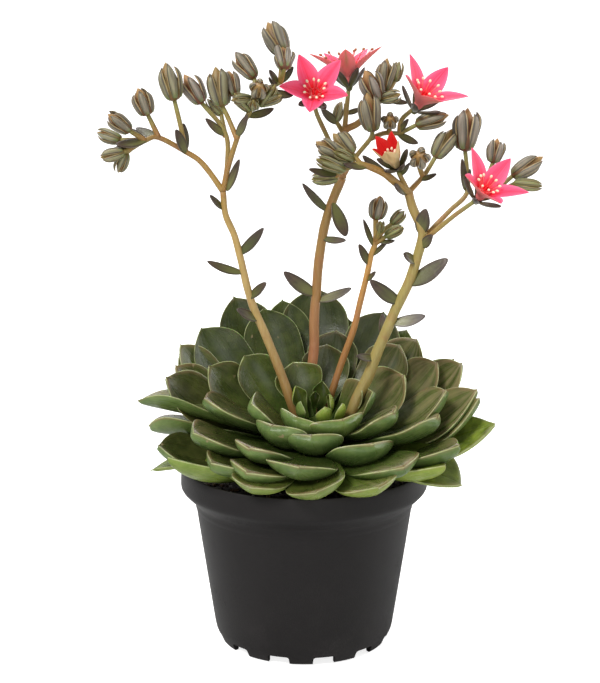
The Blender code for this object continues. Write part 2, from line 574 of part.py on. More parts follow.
def make_pot(collection, cutters):
    """The pot: rolled rim band, undercut collar, tapered wall, raised floor and notched foot."""
    floor_top = FOOT_HEIGHT + WALL
    profile = [
        (0.0, floor_top), (40.5, floor_top), (42.6, 9.0), (COLLAR_RADIUS - WALL, COLLAR_HEIGHT),
        (RIM_RADIUS - 1.6, 78.4), (RIM_RADIUS - 1.4, RIM_HEIGHT),
        (RIM_RADIUS - 0.2, RIM_HEIGHT), (RIM_RADIUS + 0.3, 79.0), (RIM_RADIUS - 0.6, 76.6),
        (COLLAR_RADIUS + 0.9, COLLAR_HEIGHT + 0.6), (COLLAR_RADIUS, COLLAR_HEIGHT - 0.6),
        (44.6, 11.0), (43.6, 5.5), (FOOT_RADIUS, 0.0),
        (FOOT_RADIUS - FOOT_WIDTH, 0.0), (FOOT_RADIUS - FOOT_WIDTH, FOOT_HEIGHT), (0.0, FOOT_HEIGHT),
    ]
    pot = turned("pot", profile, collection, POT_STEPS)
    for number in range(FOOT_NOTCHES):
        angle = math.radians(FIRST_NOTCH_ANGLE + 360.0 / FOOT_NOTCHES * number)
        block = bmesh.new()
        bmesh.ops.create_cube(block, size=1.0)
        size = Vector((FOOT_WIDTH + 6.0, FOOT_NOTCH_WIDTH, 2.0 * FOOT_HEIGHT - 0.4)) * MM
        bmesh.ops.scale(block, vec=size, verts=block.verts)
        notch = new_object("notch", mesh_from(block, "notch"), collection)
        middle = (FOOT_RADIUS - FOOT_WIDTH / 2.0) * MM
        notch.location = (middle * math.cos(angle), middle * math.sin(angle), 0.0)
        notch.rotation_euler.z = angle
        cut(pot, notch, cutters)
    for number in range(DRAIN_HOLES):
        angle = math.tau * number / DRAIN_HOLES
        drill = bmesh.new()
        bmesh.ops.create_cone(drill, cap_ends=True, segments=DRAIN_SIDES, radius1=DRAIN_RADIUS * MM,
                              radius2=DRAIN_RADIUS * MM, depth=4.0 * WALL * MM)
        hole = new_object("drain", mesh_from(drill, "drain"), collection)
        hole.location = (DRAIN_RING_RADIUS * MM * math.cos(angle), DRAIN_RING_RADIUS * MM * math.sin(angle),
                         (FOOT_HEIGHT + WALL / 2.0) * MM)
        cut(pot, hole, cutters)
    return pot


def make_soil(collection, cutters):
    """The ball of potting mix, a little lumpy on top, with a plain hole for the stem."""
    inside = CLEARANCE + 0.1
    profile = [(0.0, SOIL_HEIGHT + 1.0)]
    for radius in (15.0, 28.0, 40.0, 50.0):
        profile.append((radius, SOIL_HEIGHT + SOIL_LUMP * math.sin(radius * 0.8)))
    profile += [
        (RIM_RADIUS - 1.6 - inside, SOIL_HEIGHT), (RIM_RADIUS - 1.6 - inside, 78.6),
        (COLLAR_RADIUS - WALL - inside, COLLAR_HEIGHT), (42.6 - inside, 9.4),
        (40.2 - inside, FOOT_HEIGHT + WALL + CLEARANCE), (0.0, FOOT_HEIGHT + WALL + CLEARANCE),
    ]
    soil = turned("soil", profile, collection, SOIL_STEPS)
    hole_route = list(STEM_ROUTE)
    hole_route[0] = (6, 10, 56 - CLEARANCE)
    hole = tube(hole_route, [radius + CLEARANCE for radius in STEM_RADII], collection, 2)
    cut(soil, hole, cutters)
    return soil


def make_rosette(collection, material):
    """The short stem and every leaf on it, grown as one piece."""
    pieces = [tube(STEM_ROUTE, STEM_RADII, collection, 2)]
    leaves = (HEART_LEAVES + SMALL_LEAVES + MIDDLE_LEAVES + LARGE_LEAVES + OUTER_LEAVES + LOWEST_LEAVES)
    for number in range(HIDDEN_LEAVES):
        azimuth = HIDDEN_FIRST_AZIMUTH + HIDDEN_AZIMUTH_STEP * number
        leaves.append((azimuth, HIDDEN_REACH, 3.0 + 2.0 * (number % 2), HIDDEN_WIDTH))
    for azimuth, reach, rise, width in leaves:
        pieces.append(new_object("leaf", leaf(azimuth, reach, rise, width), collection))
    return fuse("rosette", pieces, collection, material)


def make_spray(name, stalk, radii, arms, twigs, buds, bracts, flowers, collection, material):
    """A flower stalk with its arms, twigs, bracts, buds and the calyxes of its flowers."""
    pieces = [tube(stalk, taper(*radii, len(stalk)), collection)]
    for arm in arms:
        pieces.append(tube(arm, taper(radii[1], ARM_TIP_RADIUS, len(arm)), collection))
    for twig in twigs:
        pieces.append(tube(twig, taper(*TWIG_RADII, len(twig)), collection, 0))
    for foot, tip, width in buds:
        pieces.append(new_object("bud", bud(foot, tip, width), collection))
    for foot, tip, width in bracts:
        pieces.append(new_object("bract", bract(foot, tip, width), collection))
    for flower in flowers:
        pieces += calyx(flower, collection)
    return fuse(name, pieces, collection, material)


def clear_stalks(rosette, stalks, collection, cutters, material):
    """Open the way between the leaves that each flower stalk grows through."""
    for stalk, radius in stalks:
        way = tube(stalk[:7], [radius + CLEARANCE] * 7, collection)
        cut(rosette, way, cutters)
    mesh = applied_mesh(rosette, "rosette")
    keep_largest_body(mesh)
    rosette.modifiers.clear()
    rosette.data = mesh
    mesh.materials.clear()
    mesh.materials.append(material)


def centre_under_plant(pieces):
    """Put the origin under the middle of the whole plant's bounding box."""
    graph = bpy.context.evaluated_depsgraph_get()
    graph.update()
    corners = [piece.matrix_world @ Vector(corner)
               for piece in pieces for corner in piece.evaluated_get(graph).bound_box]
    middle_x = (min(c.x for c in corners) + max(c.x for c in corners)) / 2.0
    middle_y = (min(c.y for c in corners) + max(c.y for c in corners)) / 2.0
    return Vector((middle_x, middle_y, 0.0))


def main():
    clear_scene()
    plant = new_collection("potted_graptopetalum")
    cutters = new_collection("cutters")
    plastic = new_material("black_plastic", (0.022, 0.021, 0.021), 0.55)
    mix = new_material("potting_mix", (0.035, 0.026, 0.020), 0.95)
    leaf_green = new_material("leaf_green", (0.105, 0.165, 0.055), 0.42)
    stalk_ochre = new_material("stalk_ochre", (0.36, 0.25, 0.10), 0.5)
    petal_pink = new_material("petal_pink", (0.85, 0.14, 0.20), 0.5)
    petal_red = new_material("petal_red", (0.70, 0.03, 0.03), 0.5)

    make_pot(plant, cutters).data.materials.append(plastic)
    make_soil(plant, cutters).data.materials.append(mix)
    rosette = make_rosette(plant, leaf_green)
    make_spray("stalk_left", LEFT_STALK, LEFT_RADII, [LEFT_ARM], LEFT_TWIGS, LEFT_BUDS, LEFT_BRACTS, [],
               plant, stalk_ochre)
    make_spray("stalk_middle", MIDDLE_STALK, MIDDLE_RADII, [MIDDLE_ARM], MIDDLE_TWIGS, MIDDLE_BUDS,
               MIDDLE_BRACTS, [FLOWER_A, FLOWER_B, FLOWER_C], plant, stalk_ochre)
    make_spray("stalk_small", SMALL_STALK, SMALL_RADII, [], SMALL_TWIGS, SMALL_BUDS, SMALL_BRACTS, [],
               plant, stalk_ochre)
    make_spray("stalk_right", RIGHT_STALK, RIGHT_RADII, [RIGHT_ARM], RIGHT_TWIGS, RIGHT_BUDS, RIGHT_BRACTS,
               [FLOWER_D, FLOWER_E], plant, stalk_ochre)
    stalks = [(LEFT_STALK, LEFT_RADII[0]), (MIDDLE_STALK, MIDDLE_RADII[0]), (SMALL_STALK, SMALL_RADII[0]),
              (RIGHT_STALK, RIGHT_RADII[0])]
    clear_stalks(rosette, stalks, plant, cutters, leaf_green)
    corolla("flower_a", FLOWER_A, plant, petal_pink)
    corolla("flower_b", FLOWER_B, plant, petal_pink)
    corolla("flower_c", FLOWER_C, plant, petal_pink)
    corolla("flower_d", FLOWER_D, plant, petal_red)
    corolla("flower_e", FLOWER_E, plant, petal_pink)
    offset = centre_under_plant(plant.objects)
    for piece in list(plant.objects) + list(cutters.objects):
        piece.location -= offset


main()
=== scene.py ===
"""Looks of the potted graptopetalum: a rosette with four flower stalks in a nursery pot.

The lists of leaves, stalks, buds and flowers are in millimetres from the pot's axis, at the level
that the pot stands on. X runs to the right, Y away from the viewer and Z up.
"""
import math

import bmesh
import bpy
import numpy as np
from mathutils import Matrix, Vector


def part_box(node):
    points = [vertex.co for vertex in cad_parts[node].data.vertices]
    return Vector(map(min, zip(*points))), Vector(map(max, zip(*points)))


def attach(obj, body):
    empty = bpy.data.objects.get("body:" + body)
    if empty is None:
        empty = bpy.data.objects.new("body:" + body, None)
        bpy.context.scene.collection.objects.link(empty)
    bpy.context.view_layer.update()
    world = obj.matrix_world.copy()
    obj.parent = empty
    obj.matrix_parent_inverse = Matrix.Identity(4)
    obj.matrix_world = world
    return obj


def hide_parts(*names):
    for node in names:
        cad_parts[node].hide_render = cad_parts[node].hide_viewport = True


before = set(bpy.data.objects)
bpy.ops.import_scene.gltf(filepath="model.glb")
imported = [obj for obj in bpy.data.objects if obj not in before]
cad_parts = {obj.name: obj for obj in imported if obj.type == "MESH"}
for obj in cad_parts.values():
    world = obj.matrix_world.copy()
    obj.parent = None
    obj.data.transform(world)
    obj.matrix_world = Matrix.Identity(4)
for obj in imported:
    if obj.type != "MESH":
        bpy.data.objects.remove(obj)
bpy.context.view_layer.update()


# Pot
# A nursery pot of 12 cm, moulded in matt black polypropylene: rolled rim band, undercut collar,
# tapered wall and a foot ring with notches. One turned skin, with the notches and drains cut out.
MM = 0.001  # metres in a millimetre
pot_low, pot_high = (np.array(corner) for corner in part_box("pot"))
POT_AXIS = np.array([(pot_low[0] + pot_high[0]) / 2.0, (pot_low[1] + pot_high[1]) / 2.0, 0.0])
POT_STEPS = 160
# Radius and height down the skin: inside floor and wall, rolled rim, outside wall, foot ring, underside
POT_PROFILE = [
    (0.0, 5.5), (14.0, 5.5), (30.0, 5.5), (40.2, 5.6), (41.6, 6.3), (42.6, 9.0), (45.0, 25.0),
    (48.2, 45.0), (51.3, 65.0), (52.2, 70.2), (52.9, 72.0), (55.0, 74.6), (57.6, 77.3), (58.2, 79.0),
    (58.5, 84.0), (58.6, 87.8), (58.8, 88.4), (59.2, 88.6), (59.6, 88.5), (59.85, 88.0), (60.0, 85.0),
    (60.2, 80.6), (60.25, 79.0), (60.1, 77.9), (59.6, 77.0), (58.6, 75.9), (56.6, 73.9), (54.9, 72.2),
    (54.1, 71.3), (53.6, 70.4), (53.3, 69.0), (53.12, 67.6), (52.75, 66.9), (52.66, 66.2), (50.5, 51.0),
    (47.7, 32.0), (44.9, 13.0), (44.5, 10.4), (44.1, 7.8), (43.6, 5.5), (42.5, 2.8), (41.6, 0.7),
    (41.2, 0.15), (40.8, 0.0), (39.6, 0.0), (39.2, 0.15), (39.0, 0.5), (39.0, 3.9), (38.7, 4.2),
    (20.0, 4.2), (0.0, 4.2),
]
FOOT_RADIUS = 40.2
FOOT_NOTCHES = 12
FIRST_NOTCH_ANGLE = -77.0
NOTCH_SIZE = (8.4, 10.5, 8.0)
NOTCH_ROUNDING = 1.2
DRAIN_HOLES = 4
DRAIN_RING_RADIUS = 25.0
DRAIN_RADIUS = 3.5
DRILL_LENGTH = 5.2
DRILL_HEIGHT = 4.85
SMOOTH_UP_TO_DEGREES = 38.0
MATT_BLACK = (0.0085, 0.0074, 0.0077)
DUSTY_BLACK = (0.031, 0.0275, 0.0285)


def new_piece(name, points, faces, replaced=(), shades=None):
    """A mesh piece from points in millimetres about the pot's axis, which rides on the one body."""
    mesh = bpy.data.meshes.new(name)
    mesh.from_pydata((np.asarray(points) * MM + POT_AXIS).tolist(), [], faces)
    mesh.shade_smooth()
    for title, values in (shades or {}).items():
        layer = mesh.attributes.new(title, "FLOAT_COLOR", "POINT")
        layer.data.foreach_set("color", np.asarray(values, dtype=np.float32).ravel())
    piece = bpy.data.objects.new(name, mesh)
    bpy.context.scene.collection.objects.link(piece)
    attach(piece, "root")
    if replaced:
        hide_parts(*replaced)
    return piece


def level_ring(radius, height, ring):
    """Points of one ring about the pot's axis, at one height or at a height for each point."""
    return np.column_stack([radius * np.cos(ring), radius * np.sin(ring),
                            np.broadcast_to(height, ring.shape)]).tolist()


def closed_faces(rings, loop, start=0, downward=False):
    """Faces of a closed form: a first pole, rings of one length, and a last pole.

    Downward is for forms whose first pole is the upper one.
    """
    faces = []
    last = start + 1 + rings * loop
    for step in range(loop):
        following = (step + 1) % loop
        faces.append((start, start + 1 + following, start + 1 + step))
        for band in range(rings - 1):
            low = start + 1 + band * loop
            faces.append((low + step, low + following, low + loop + following, low + loop + step))
        low = last - loop
        faces.append((low + step, low + following, last))
    return [(face[0], *face[:0:-1]) for face in faces] if downward else faces


def turned(profile, steps):
    """Points and faces of a closed solid of revolution, from a profile that ends on the axis."""
    ring = np.arange(steps) * math.tau / steps
    points = [(0.0, 0.0, profile[0][1])]
    for radius, height in profile[1:-1]:
        points += level_ring(radius, height, ring)
    points.append((0.0, 0.0, profile[-1][1]))
    return points, closed_faces(len(profile) - 2, steps, downward=True)


def cutter(form, radius, angle, height, turn=0.0):
    """A form in metres, put at a place about the pot's axis to be cut out of it."""
    mesh = bpy.data.meshes.new("cutter")
    form.to_mesh(mesh)
    form.free()
    block = bpy.data.objects.new("cutter", mesh)
    block.location = POT_AXIS + np.array([radius * math.cos(angle), radius * math.sin(angle), height]) * MM
    block.rotation_euler.z = turn
    bpy.context.scene.collection.objects.link(block)
    return block


def cut_away(piece, blocks):
    """Take blocks out of a piece and leave it as one plain mesh."""
    for block in blocks:
        difference = piece.modifiers.new("cut", "BOOLEAN")
        difference.operation = "DIFFERENCE"
        difference.solver = "EXACT"
        difference.object = block
    graph = bpy.context.evaluated_depsgraph_get()
    graph.update()
    whole = bpy.data.meshes.new_from_object(piece.evaluated_get(graph), depsgraph=graph)
    piece.modifiers.clear()
    piece.data = whole
    for block in blocks:
        bpy.data.objects.remove(block, do_unlink=True)


def put_node(tree, kind, sockets=None, **settings):
    """A shader node with its settings, and a value or a link for its named or numbered sockets."""
    node = tree.nodes.new(kind)
    for title, value in settings.items():
        setattr(node, title, value)
    for title, value in (sockets or {}).items():
        if isinstance(value, bpy.types.NodeSocket):
            tree.links.new(value, node.inputs[title])
        else:
            node.inputs[title].default_value = value
    return node


def blend_colour(tree, share, first, second, way="MIX"):
    """Colour between two colours, each a link or plain numbers."""
    sockets = {0: share, 6: first, 7: second}
    for number in (6, 7):
        if isinstance(sockets[number], tuple):
            sockets[number] = (*sockets[number][:3], 1.0)
    mix = put_node(tree, "ShaderNodeMix", sockets, data_type="RGBA", blend_type=way, clamp_factor=True)
    return mix.outputs[2]


def work_out(tree, operation, first, second=0.0, clamp=False):
    """Result of one sum with one or two values."""
    sockets = {0: first, 1: second}
    return put_node(tree, "ShaderNodeMath", sockets, operation=operation, use_clamp=clamp).outputs[0]


def times(tree, first, *others):
    """Product of two or more values."""
    for other in others:
        first = work_out(tree, "MULTIPLY", first, other)
    return first


def between(tree, value, low, high, floor=0.0, ceiling=1.0):
    """Soft step of a value from floor at low to ceiling at high."""
    sockets = {"Value": value, "From Min": low, "From Max": high, "To Min": floor, "To Max": ceiling}
    return put_node(tree, "ShaderNodeMapRange", sockets, interpolation_type="SMOOTHSTEP").outputs[0]


def grain(tree, place, scale, detail=4.0, roughness=0.55):
    """Noise of about 0.5, with a scale in grains over a metre."""
    sockets = {"Vector": place, "Scale": scale, "Detail": detail, "Roughness": roughness}
    return put_node(tree, "ShaderNodeTexNoise", sockets).outputs["Fac"]


def new_material(name):
    """An empty material with a Principled shader on its output."""
    material = bpy.data.materials.new(name)
    material.use_nodes = True
    tree = material.node_tree
    return material, tree, tree.nodes["Principled BSDF"]


def own_place(tree):
    """Place in the object's own frame, in metres."""
    return put_node(tree, "ShaderNodeTexCoord").outputs["Object"]


def dress(tree, shader, shade, roughness, relief, strength, depth):
    """Colour, roughness and fine relief on the shader of a finish."""
    tree.links.new(shade, shader.inputs["Base Color"])
    tree.links.new(roughness, shader.inputs["Roughness"])
    bump = put_node(tree, "ShaderNodeBump", {"Height": relief, "Strength": strength, "Distance": depth})
    tree.links.new(bump.outputs[0], shader.inputs["Normal"])


def new_group(name, inputs, outputs):
    """An empty shader group with named inputs of given kinds and named value outputs."""
    tree = bpy.data.node_groups.new(name, "ShaderNodeTree")
    for title, kind in inputs.items():
        tree.interface.new_socket(title, in_out="INPUT", socket_type="NodeSocket" + kind)
    for title in outputs:
        tree.interface.new_socket(title, in_out="OUTPUT", socket_type="NodeSocketFloat")
    return tree, tree.nodes.new("NodeGroupInput").outputs, tree.nodes.new("NodeGroupOutput").inputs


def moulded_skin():
    """Shader group: fine moulding grain and settled dust on black plastic."""
    tree, source, out = new_group("moulded_skin", {"Place": "Vector"}, ["Dust", "Height"])
    place = source["Place"]
    cloud = grain(tree, place, 45.0, 6.0, 0.62)
    speck = grain(tree, place, 900.0, 2.0)
    dust = times(tree, between(tree, cloud, 0.42, 0.75), between(tree, speck, 0.45, 0.7, 0.35, 1.0))
    tree.links.new(dust, out["Dust"])
    height = work_out(tree, "ADD", grain(tree, place, 1400.0, 2.0), times(tree, cloud, 1.5))
    tree.links.new(height, out["Height"])
    return tree


points, faces = turned(POT_PROFILE, POT_STEPS)
pot = new_piece("nursery_pot", points, faces, ["pot"])
blocks = []
for number in range(FOOT_NOTCHES):
    angle = math.radians(FIRST_NOTCH_ANGLE + 360.0 / FOOT_NOTCHES * number)
    notch = bmesh.new()
    bmesh.ops.create_cube(notch, size=1.0)
    bmesh.ops.scale(notch, vec=Vector(NOTCH_SIZE) * MM, verts=notch.verts)
    bmesh.ops.bevel(notch, geom=notch.edges, offset=NOTCH_ROUNDING * MM, segments=4, profile=0.5,
                    affect="EDGES")
    blocks.append(cutter(notch, FOOT_RADIUS, angle, 0.0, angle))
for number in range(DRAIN_HOLES):
    drill = bmesh.new()
    bmesh.ops.create_cone(drill, cap_ends=True, segments=32, radius1=DRAIN_RADIUS * MM,
                          radius2=DRAIN_RADIUS * MM, depth=DRILL_LENGTH * MM)
    blocks.append(cutter(drill, DRAIN_RING_RADIUS, math.tau * number / DRAIN_HOLES, DRILL_HEIGHT))
cut_away(pot, blocks)
pot.data.shade_smooth()
pot.data.set_sharp_from_angle(angle=math.radians(SMOOTH_UP_TO_DEGREES))

pot_finish, tree, shader = new_material("matt_black_plastic")
place = own_place(tree)
skin = put_node(tree, "ShaderNodeGroup", {"Place": place}, node_tree=moulded_skin()).outputs
height = put_node(tree, "ShaderNodeSeparateXYZ", {0: place}).outputs["Z"]
dusty = times(tree, skin["Dust"], between(tree, height, 0.0, 0.03, 0.9, 0.25))
dress(tree, shader, blend_colour(tree, dusty, MATT_BLACK, DUSTY_BLACK),
      between(tree, skin["Dust"], 0.0, 1.0, 0.5, 0.68), skin["Height"], 0.18, 0.0003)
shader.inputs["Specular IOR Level"].default_value = 0.24
pot.data.materials.clear()
pot.data.materials.append(pot_finish)


# Potting mix
# Peat and composted bark in the pot, a little lumpy, with crumbs, bark chips and white perlite
# pressed into its top. The ball fills the pot to just below the rim.
SOIL_HEIGHT = 80.3
SOIL_RADIUS = 57.6
SOIL_RINGS = 46
SOIL_STEPS = 160
# Radius and height down the side of the ball and to the middle of its underside
SOIL_SIDE = [(57.8, 79.6), (57.2, 78.2), (51.4, 70.6), (41.9, 10.0), (39.6, 6.0), (0.0, 6.0)]
LUMP_HEIGHT = 0.55
GRAIN_FIELD_RADIUS = 56.3
soil_draw = np.random.default_rng(11)


def lumps(x, y, waves=26, longest=17.0, seed=3):
    """Smooth seeded unevenness over a plane, from a sum of crossing waves, about 1 high."""
    draw = np.random.default_rng(seed)
    total = np.zeros_like(x)
    weight = 0.0
    for number in range(waves):
        length = longest * 0.86 ** number
        heading = draw.uniform(0.0, math.tau)
        start = draw.uniform(0.0, math.tau)
        share = length ** 0.8
        total += share * np.sin((x * math.cos(heading) + y * math.sin(heading)) * math.tau / length + start)
        weight += share * share
    return total / math.sqrt(weight)


def soil_top(x, y):
    """Height of the mix at places in its top."""
    return SOIL_HEIGHT + LUMP_HEIGHT * lumps(x, y)


ring = np.arange(SOIL_STEPS) * math.tau / SOIL_STEPS
points = [(0.0, 0.0, SOIL_HEIGHT)]
for step in range(1, SOIL_RINGS + 1):
    radius = SOIL_RADIUS * step / SOIL_RINGS
    points += level_ring(radius, soil_top(radius * np.cos(ring), radius * np.sin(ring)), ring)
for radius, height in SOIL_SIDE[:-1]:
    points += level_ring(radius, height, ring)
points.append((0.0, 0.0, SOIL_SIDE[-1][1]))
faces = closed_faces(SOIL_RINGS + len(SOIL_SIDE) - 1, SOIL_STEPS, downward=True)
soil = new_piece("potting_mix", points, faces, ["soil"])


def scattered(name, amount, smallest, largest, flatness, draw):
    """Small angular grains, half sunk in the top of the mix, joined in one piece."""
    points = []
    faces = []
    for _ in range(amount):
        radius = GRAIN_FIELD_RADIUS * math.sqrt(draw.uniform(0.02, 1.0))
        angle = draw.uniform(0.0, math.tau)
        size = draw.uniform(smallest, largest)
        shape = bmesh.new()
        bmesh.ops.create_icosphere(shape, subdivisions=2, radius=0.5 * size)
        stretch = draw.uniform(0.7, 1.4)
        for corner in shape.verts:
            corner.co *= 1.0 + draw.uniform(-0.16, 0.16)
            corner.co.x *= stretch
            corner.co.z *= flatness
        turn = Matrix.Rotation(draw.uniform(0.0, math.tau), 3, "Z")
        tilt = turn @ Matrix.Rotation(draw.uniform(-0.5, 0.5), 3, "X")
        x = radius * math.cos(angle)
        y = radius * math.sin(angle)
        seat = Vector((x, y, float(soil_top(np.array([x]), np.array([y]))[0]) + 0.1 * size))
        start = len(points)
        points += [tuple(seat + tilt @ corner.co) for corner in shape.verts]
        faces += [tuple(start + corner.index for corner in face.verts) for face in shape.faces]
        shape.free()
    return new_piece(name, points, faces)


crumbs = scattered("peat_crumbs", 330, 0.7, 2.2, 0.8, soil_draw)
bark = scattered("bark_chips", 46, 2.4, 4.6, 0.42, soil_draw)
perlite = scattered("perlite", 60, 0.8, 2.0, 0.85, soil_draw)


def earthy(name, dark, light, roughness, scale):
    """A dull, crumbly finish between two shades."""
    material, tree, shader = new_material(name)
    cloud = grain(tree, own_place(tree), scale, 8.0, 0.7)
    dress(tree, shader, blend_colour(tree, between(tree, cloud, 0.35, 0.68), dark, light),
          between(tree, cloud, 0.3, 0.7, roughness - 0.1, roughness), cloud, 0.8, 0.0008)
    return material


soil.data.materials.append(earthy("peat", (0.010, 0.007, 0.005), (0.060, 0.040, 0.026), 0.98, 420.0))
crumbs.data.materials.append(earthy("peat_crumb", (0.016, 0.010, 0.007), (0.085, 0.055, 0.034), 0.98, 700.0))
bark.data.materials.append(earthy("composted_bark", (0.045, 0.022, 0.012), (0.20, 0.115, 0.06), 0.9, 500.0))
perlite.data.materials.append(earthy("perlite", (0.42, 0.40, 0.36), (0.82, 0.80, 0.76), 0.85, 900.0))


# Rosette
# Thick spoon-shaped leaves, grown in spirals round a short stem, satin with a thin waxy bloom, whose
# sheen on the back leaves is a painted highlight. Each has a flat top, a deep keel below, a pale margin
# and a small point, and stands clear of the pot.
GROWING_POINT = (6.0, -5.0, 113.0)
LEAN_DEGREES = 22.0
LEAF_ROOT_RADIUS = 5.0
LEAF_THICKNESS = 6.6
LEAF_BEND = 0.62
ROUTE_STEPS = 6
STEM_ROUTE = [(6, 10, 57), (6, 10, 82), (6, 5, 94), (6, -1, 105), (6, -4, 111)]
STEM_RADII = [3.9, 7.9, 8.9, 7.9, 2.5]
STEM_SIDES = 20
# Each leaf: direction round the stem, reach, rise, width, roll in degrees, how far its sides fold up
# beside its point, how pointed it is, and how far its middle sags
HEART_LEAVES = [
    (75, 10, 14, 9, 0, 0.1, 1.0, 0.3), (136, 14, 11, 10, 0, 0.1, 1.0, 0.3),
    (15, 6, 12, 8, 0, 0.1, 1.0, 0.3), (-62, 8, 11, 9, 0, 0.1, 1.0, 0.3),
    (-160, 8, 11, 8, 0, 0.1, 1.0, 0.3), (100, 4, 12, 5, 0, 0.1, 1.0, 0.3),
    (-20, 13, 11, 9, 0, 0.1, 0.8, 0.3),
]
SMALL_LEAVES = [
    (117, 25, 16, 24, -14, 0.15, 0.1, 0.22), (28, 24, 13, 17, 0, 0.12, 0.1, 0.3),
    (5, 27, 13, 16, -4, 0.15, 0.2, 0.3), (-57, 22, 12, 29, -8, 0.1, 0, 0.3),
    (-120, 19, 12, 24, -4, 0.12, 0, 0.3),
]
MIDDLE_LEAVES = [
    (-166, 32, 13, 24, 3, 0.12, 0.1, 0.12), (-131, 32, 13, 29, 13, 0.03, 0, 0.3),
    (-95, 32, 13, 29, 1, 0.02, 0, 0.3), (-22, 39, 13, 27, -14, 0.0, 0, 0.15),
    (19, 45, 14, 28, 12, 0.10, 0.1, 0.3), (82, 41, 14, 24, 0, 0.12, 0.1, 0.3),
    (139, 47, 14, 24, -10, 0.15, 0.1, 0.3), (111, 75, 16, 30, 0, 0.1, 0.1, 0.3),
]
LARGE_LEAVES = [
    (157, 57, 14, 26, -10, 0.15, 0.2, 0.3), (-178, 54, 12, 30, 21, 0.0, 0, 0.08),
    (-126, 53, 14, 28, 4, 0.02, 0, 0.14), (-56, 46, 13, 33, -14, 0.06, 0, 0.3),
    (-19, 60, 14, 30, -23, 0.0, 0, 0.15), (1, 62, 15, 28, -2, 0.12, 0.6, 0.3),
    (43, 57, 15, 26, 10, 0.1, 0.1, 0.3), (62, 74, 17, 29, 8, 0.1, 0.1, 0.3),
    (79, 54, 14, 26, 0, 0.1, 0.1, 0.3), (138, 78, 16, 31, -12, 0.15, 0.2, 0.3),
]
OUTER_LEAVES = [
    (168, 75, 12, 29, -12, 0.12, 0.3, 0.3), (-153, 65, 13, 29, 8, 0.08, 0.1, 0.14),
    (-137, 67, 8, 25, 4, 0.1, 0.1, 0.15), (-120, 65, 11, 29, 1, 0.02, 0, 0.13),
    (-98, 66, 12, 33, -3, 0.0, 0, -0.05), (-54, 67, 12, 33, -2, 0.06, 0.2, 0.1),
    (-29, 75, 11, 28, -12, 0.1, 0.5, 0.2), (2, 77, 14, 29, 6, 0.1, 0.8, 0.3),
    (22, 64, 15, 27, 12, 0.1, 0.1, 0.3), (18, 75, 15, 26, 12, 0.1, 0.1, 0.3),
    (41, 67, 15, 27, 10, 0.1, 0.1, 0.3), (-1, 78, 12, 24, 6, 0.1, 0.9, 0.3),
    (118, 90, 17, 31, -6, 0.15, 0.2, 0.3), (102, 83, 14, 26, 0, 0.1, 0.2, 0.3),
    (90, 88, 17, 35, 0, 0.1, 0.1, 0.3), (149, 79, 14, 23, -3, 0.15, 0.2, 0.3),
    (158, 75, 10, 23, -6, 0.15, 0.2, 0.3),
]
LOWEST_LEAVES = [
    (173, 88, 1, 28, 28, 0.3, 0.9, -0.09), (178, 82, -8, 24, 33, 0.2, 0.0, -0.04),
    (-165, 78, -2, 26, -6, 0.1, 0.5, 0.3), (-167, 82, -19, 14, 14, 0.0, 0.9, 0.1),
    (-147, 82, 10, 27, 27, 0.0, 1.0, 0.42), (-145, 44, -2, 20, -4, 0.02, 0, 0.3),
    (-131, 60, 2, 24, 8, 0.02, 0, 0.15), (-116, 72, 0, 27, 4, 0.0, 0, 0.17),
    (-89, 74, 5, 28, 15, 0.0, 0.1, 0.3), (-67, 74, 3, 29, 6, 0.02, 0.1, 0.3),
    (-38, 75, 4, 30, -16, 0.0, 0.9, 0.32), (-4, 86, 0, 28, 10, 0.08, 1.0, 0.3),
    (-31, 79, -10, 28, -1, 0.05, 0.7, 0.36),
]
HIDDEN_LEAVES = [(32 + 23 * number, 82, 3 + 2 * (number % 2), 25, 0, 0.1, 0.2, 0.3) for number in range(6)]
# How fresh a green each ring of leaves is, from the heart to the hidden ones
RING_FRESHNESS = [0.32, 0.12, 0.12, 0.12, 0.12, 0.65, 0.5]
# Lowest leaves with tones of their own, by direction: least brown, share of the drawn brown that is
# added to it, and how fresh a green
OWN_TONES = {
    173: (0.9, 0.0, 0.18), 178: (0.9, 0.0, 0.18), -165: (0.0, 0.3, 0.05), -167: (0.0, 0.25, 1.0),
    -147: (0.0, 0.25, 0.32), -38: (0.0, 0.25, 1.0), -4: (0.0, 0.25, 1.0), -31: (0.0, 0.3, 0.7),
}
# How far the ends of the long front leaves turn up, and of one shorter leaf with them
CURLED_END = 7.5
CURLED_REACH = 70
CURLED_SHORTER_LEAF = -98
# Shares of a leaf's thickness in its rounded edge, its nearly flat top and its keeled underside
EDGE_SHARE = 0.13
TOP_SHARE = 0.20
KEEL_SHARE = 0.57
# A leaf's middle is lifted step by step until the leaf clears the soil inside the pot's mouth and the
# rim outside it. Its foot, near the stem, stays where it is
STEM_FIELD = 12.0
MOUTH_RADIUS = 56.6
RIM_RADIUS = 61.6
CLEAR_OF_SOIL = 82.6
CLEAR_OF_RIM = 89.3
SAG_STEP = 0.03
LEAST_SAG = -0.6
# How deep the margin's own colours can reach into a leaf
MARGIN_DEPTH = 6.0
LEAF_RINGS = 30
# Places round a leaf's cross-section, close together at the two margins
LEAF_ACROSS = [1.0, 0.985, 0.94, 0.86, 0.72, 0.52, 0.27, 0.0]
leaf_draw = np.random.default_rng(29)
lean = np.array(Matrix.Rotation(math.radians(LEAN_DEGREES), 3, "X"))


def unit(way):
    """Directions of length 1."""
    return way / np.linalg.norm(way, axis=-1, keepdims=True)


def soft_step(value, low, high):
    """0 up to low, 1 from high, and a soft rise between them."""
    share = np.clip((value - low) / (high - low), 0.0, 1.0)
    return share * share * (3.0 - 2.0 * share)


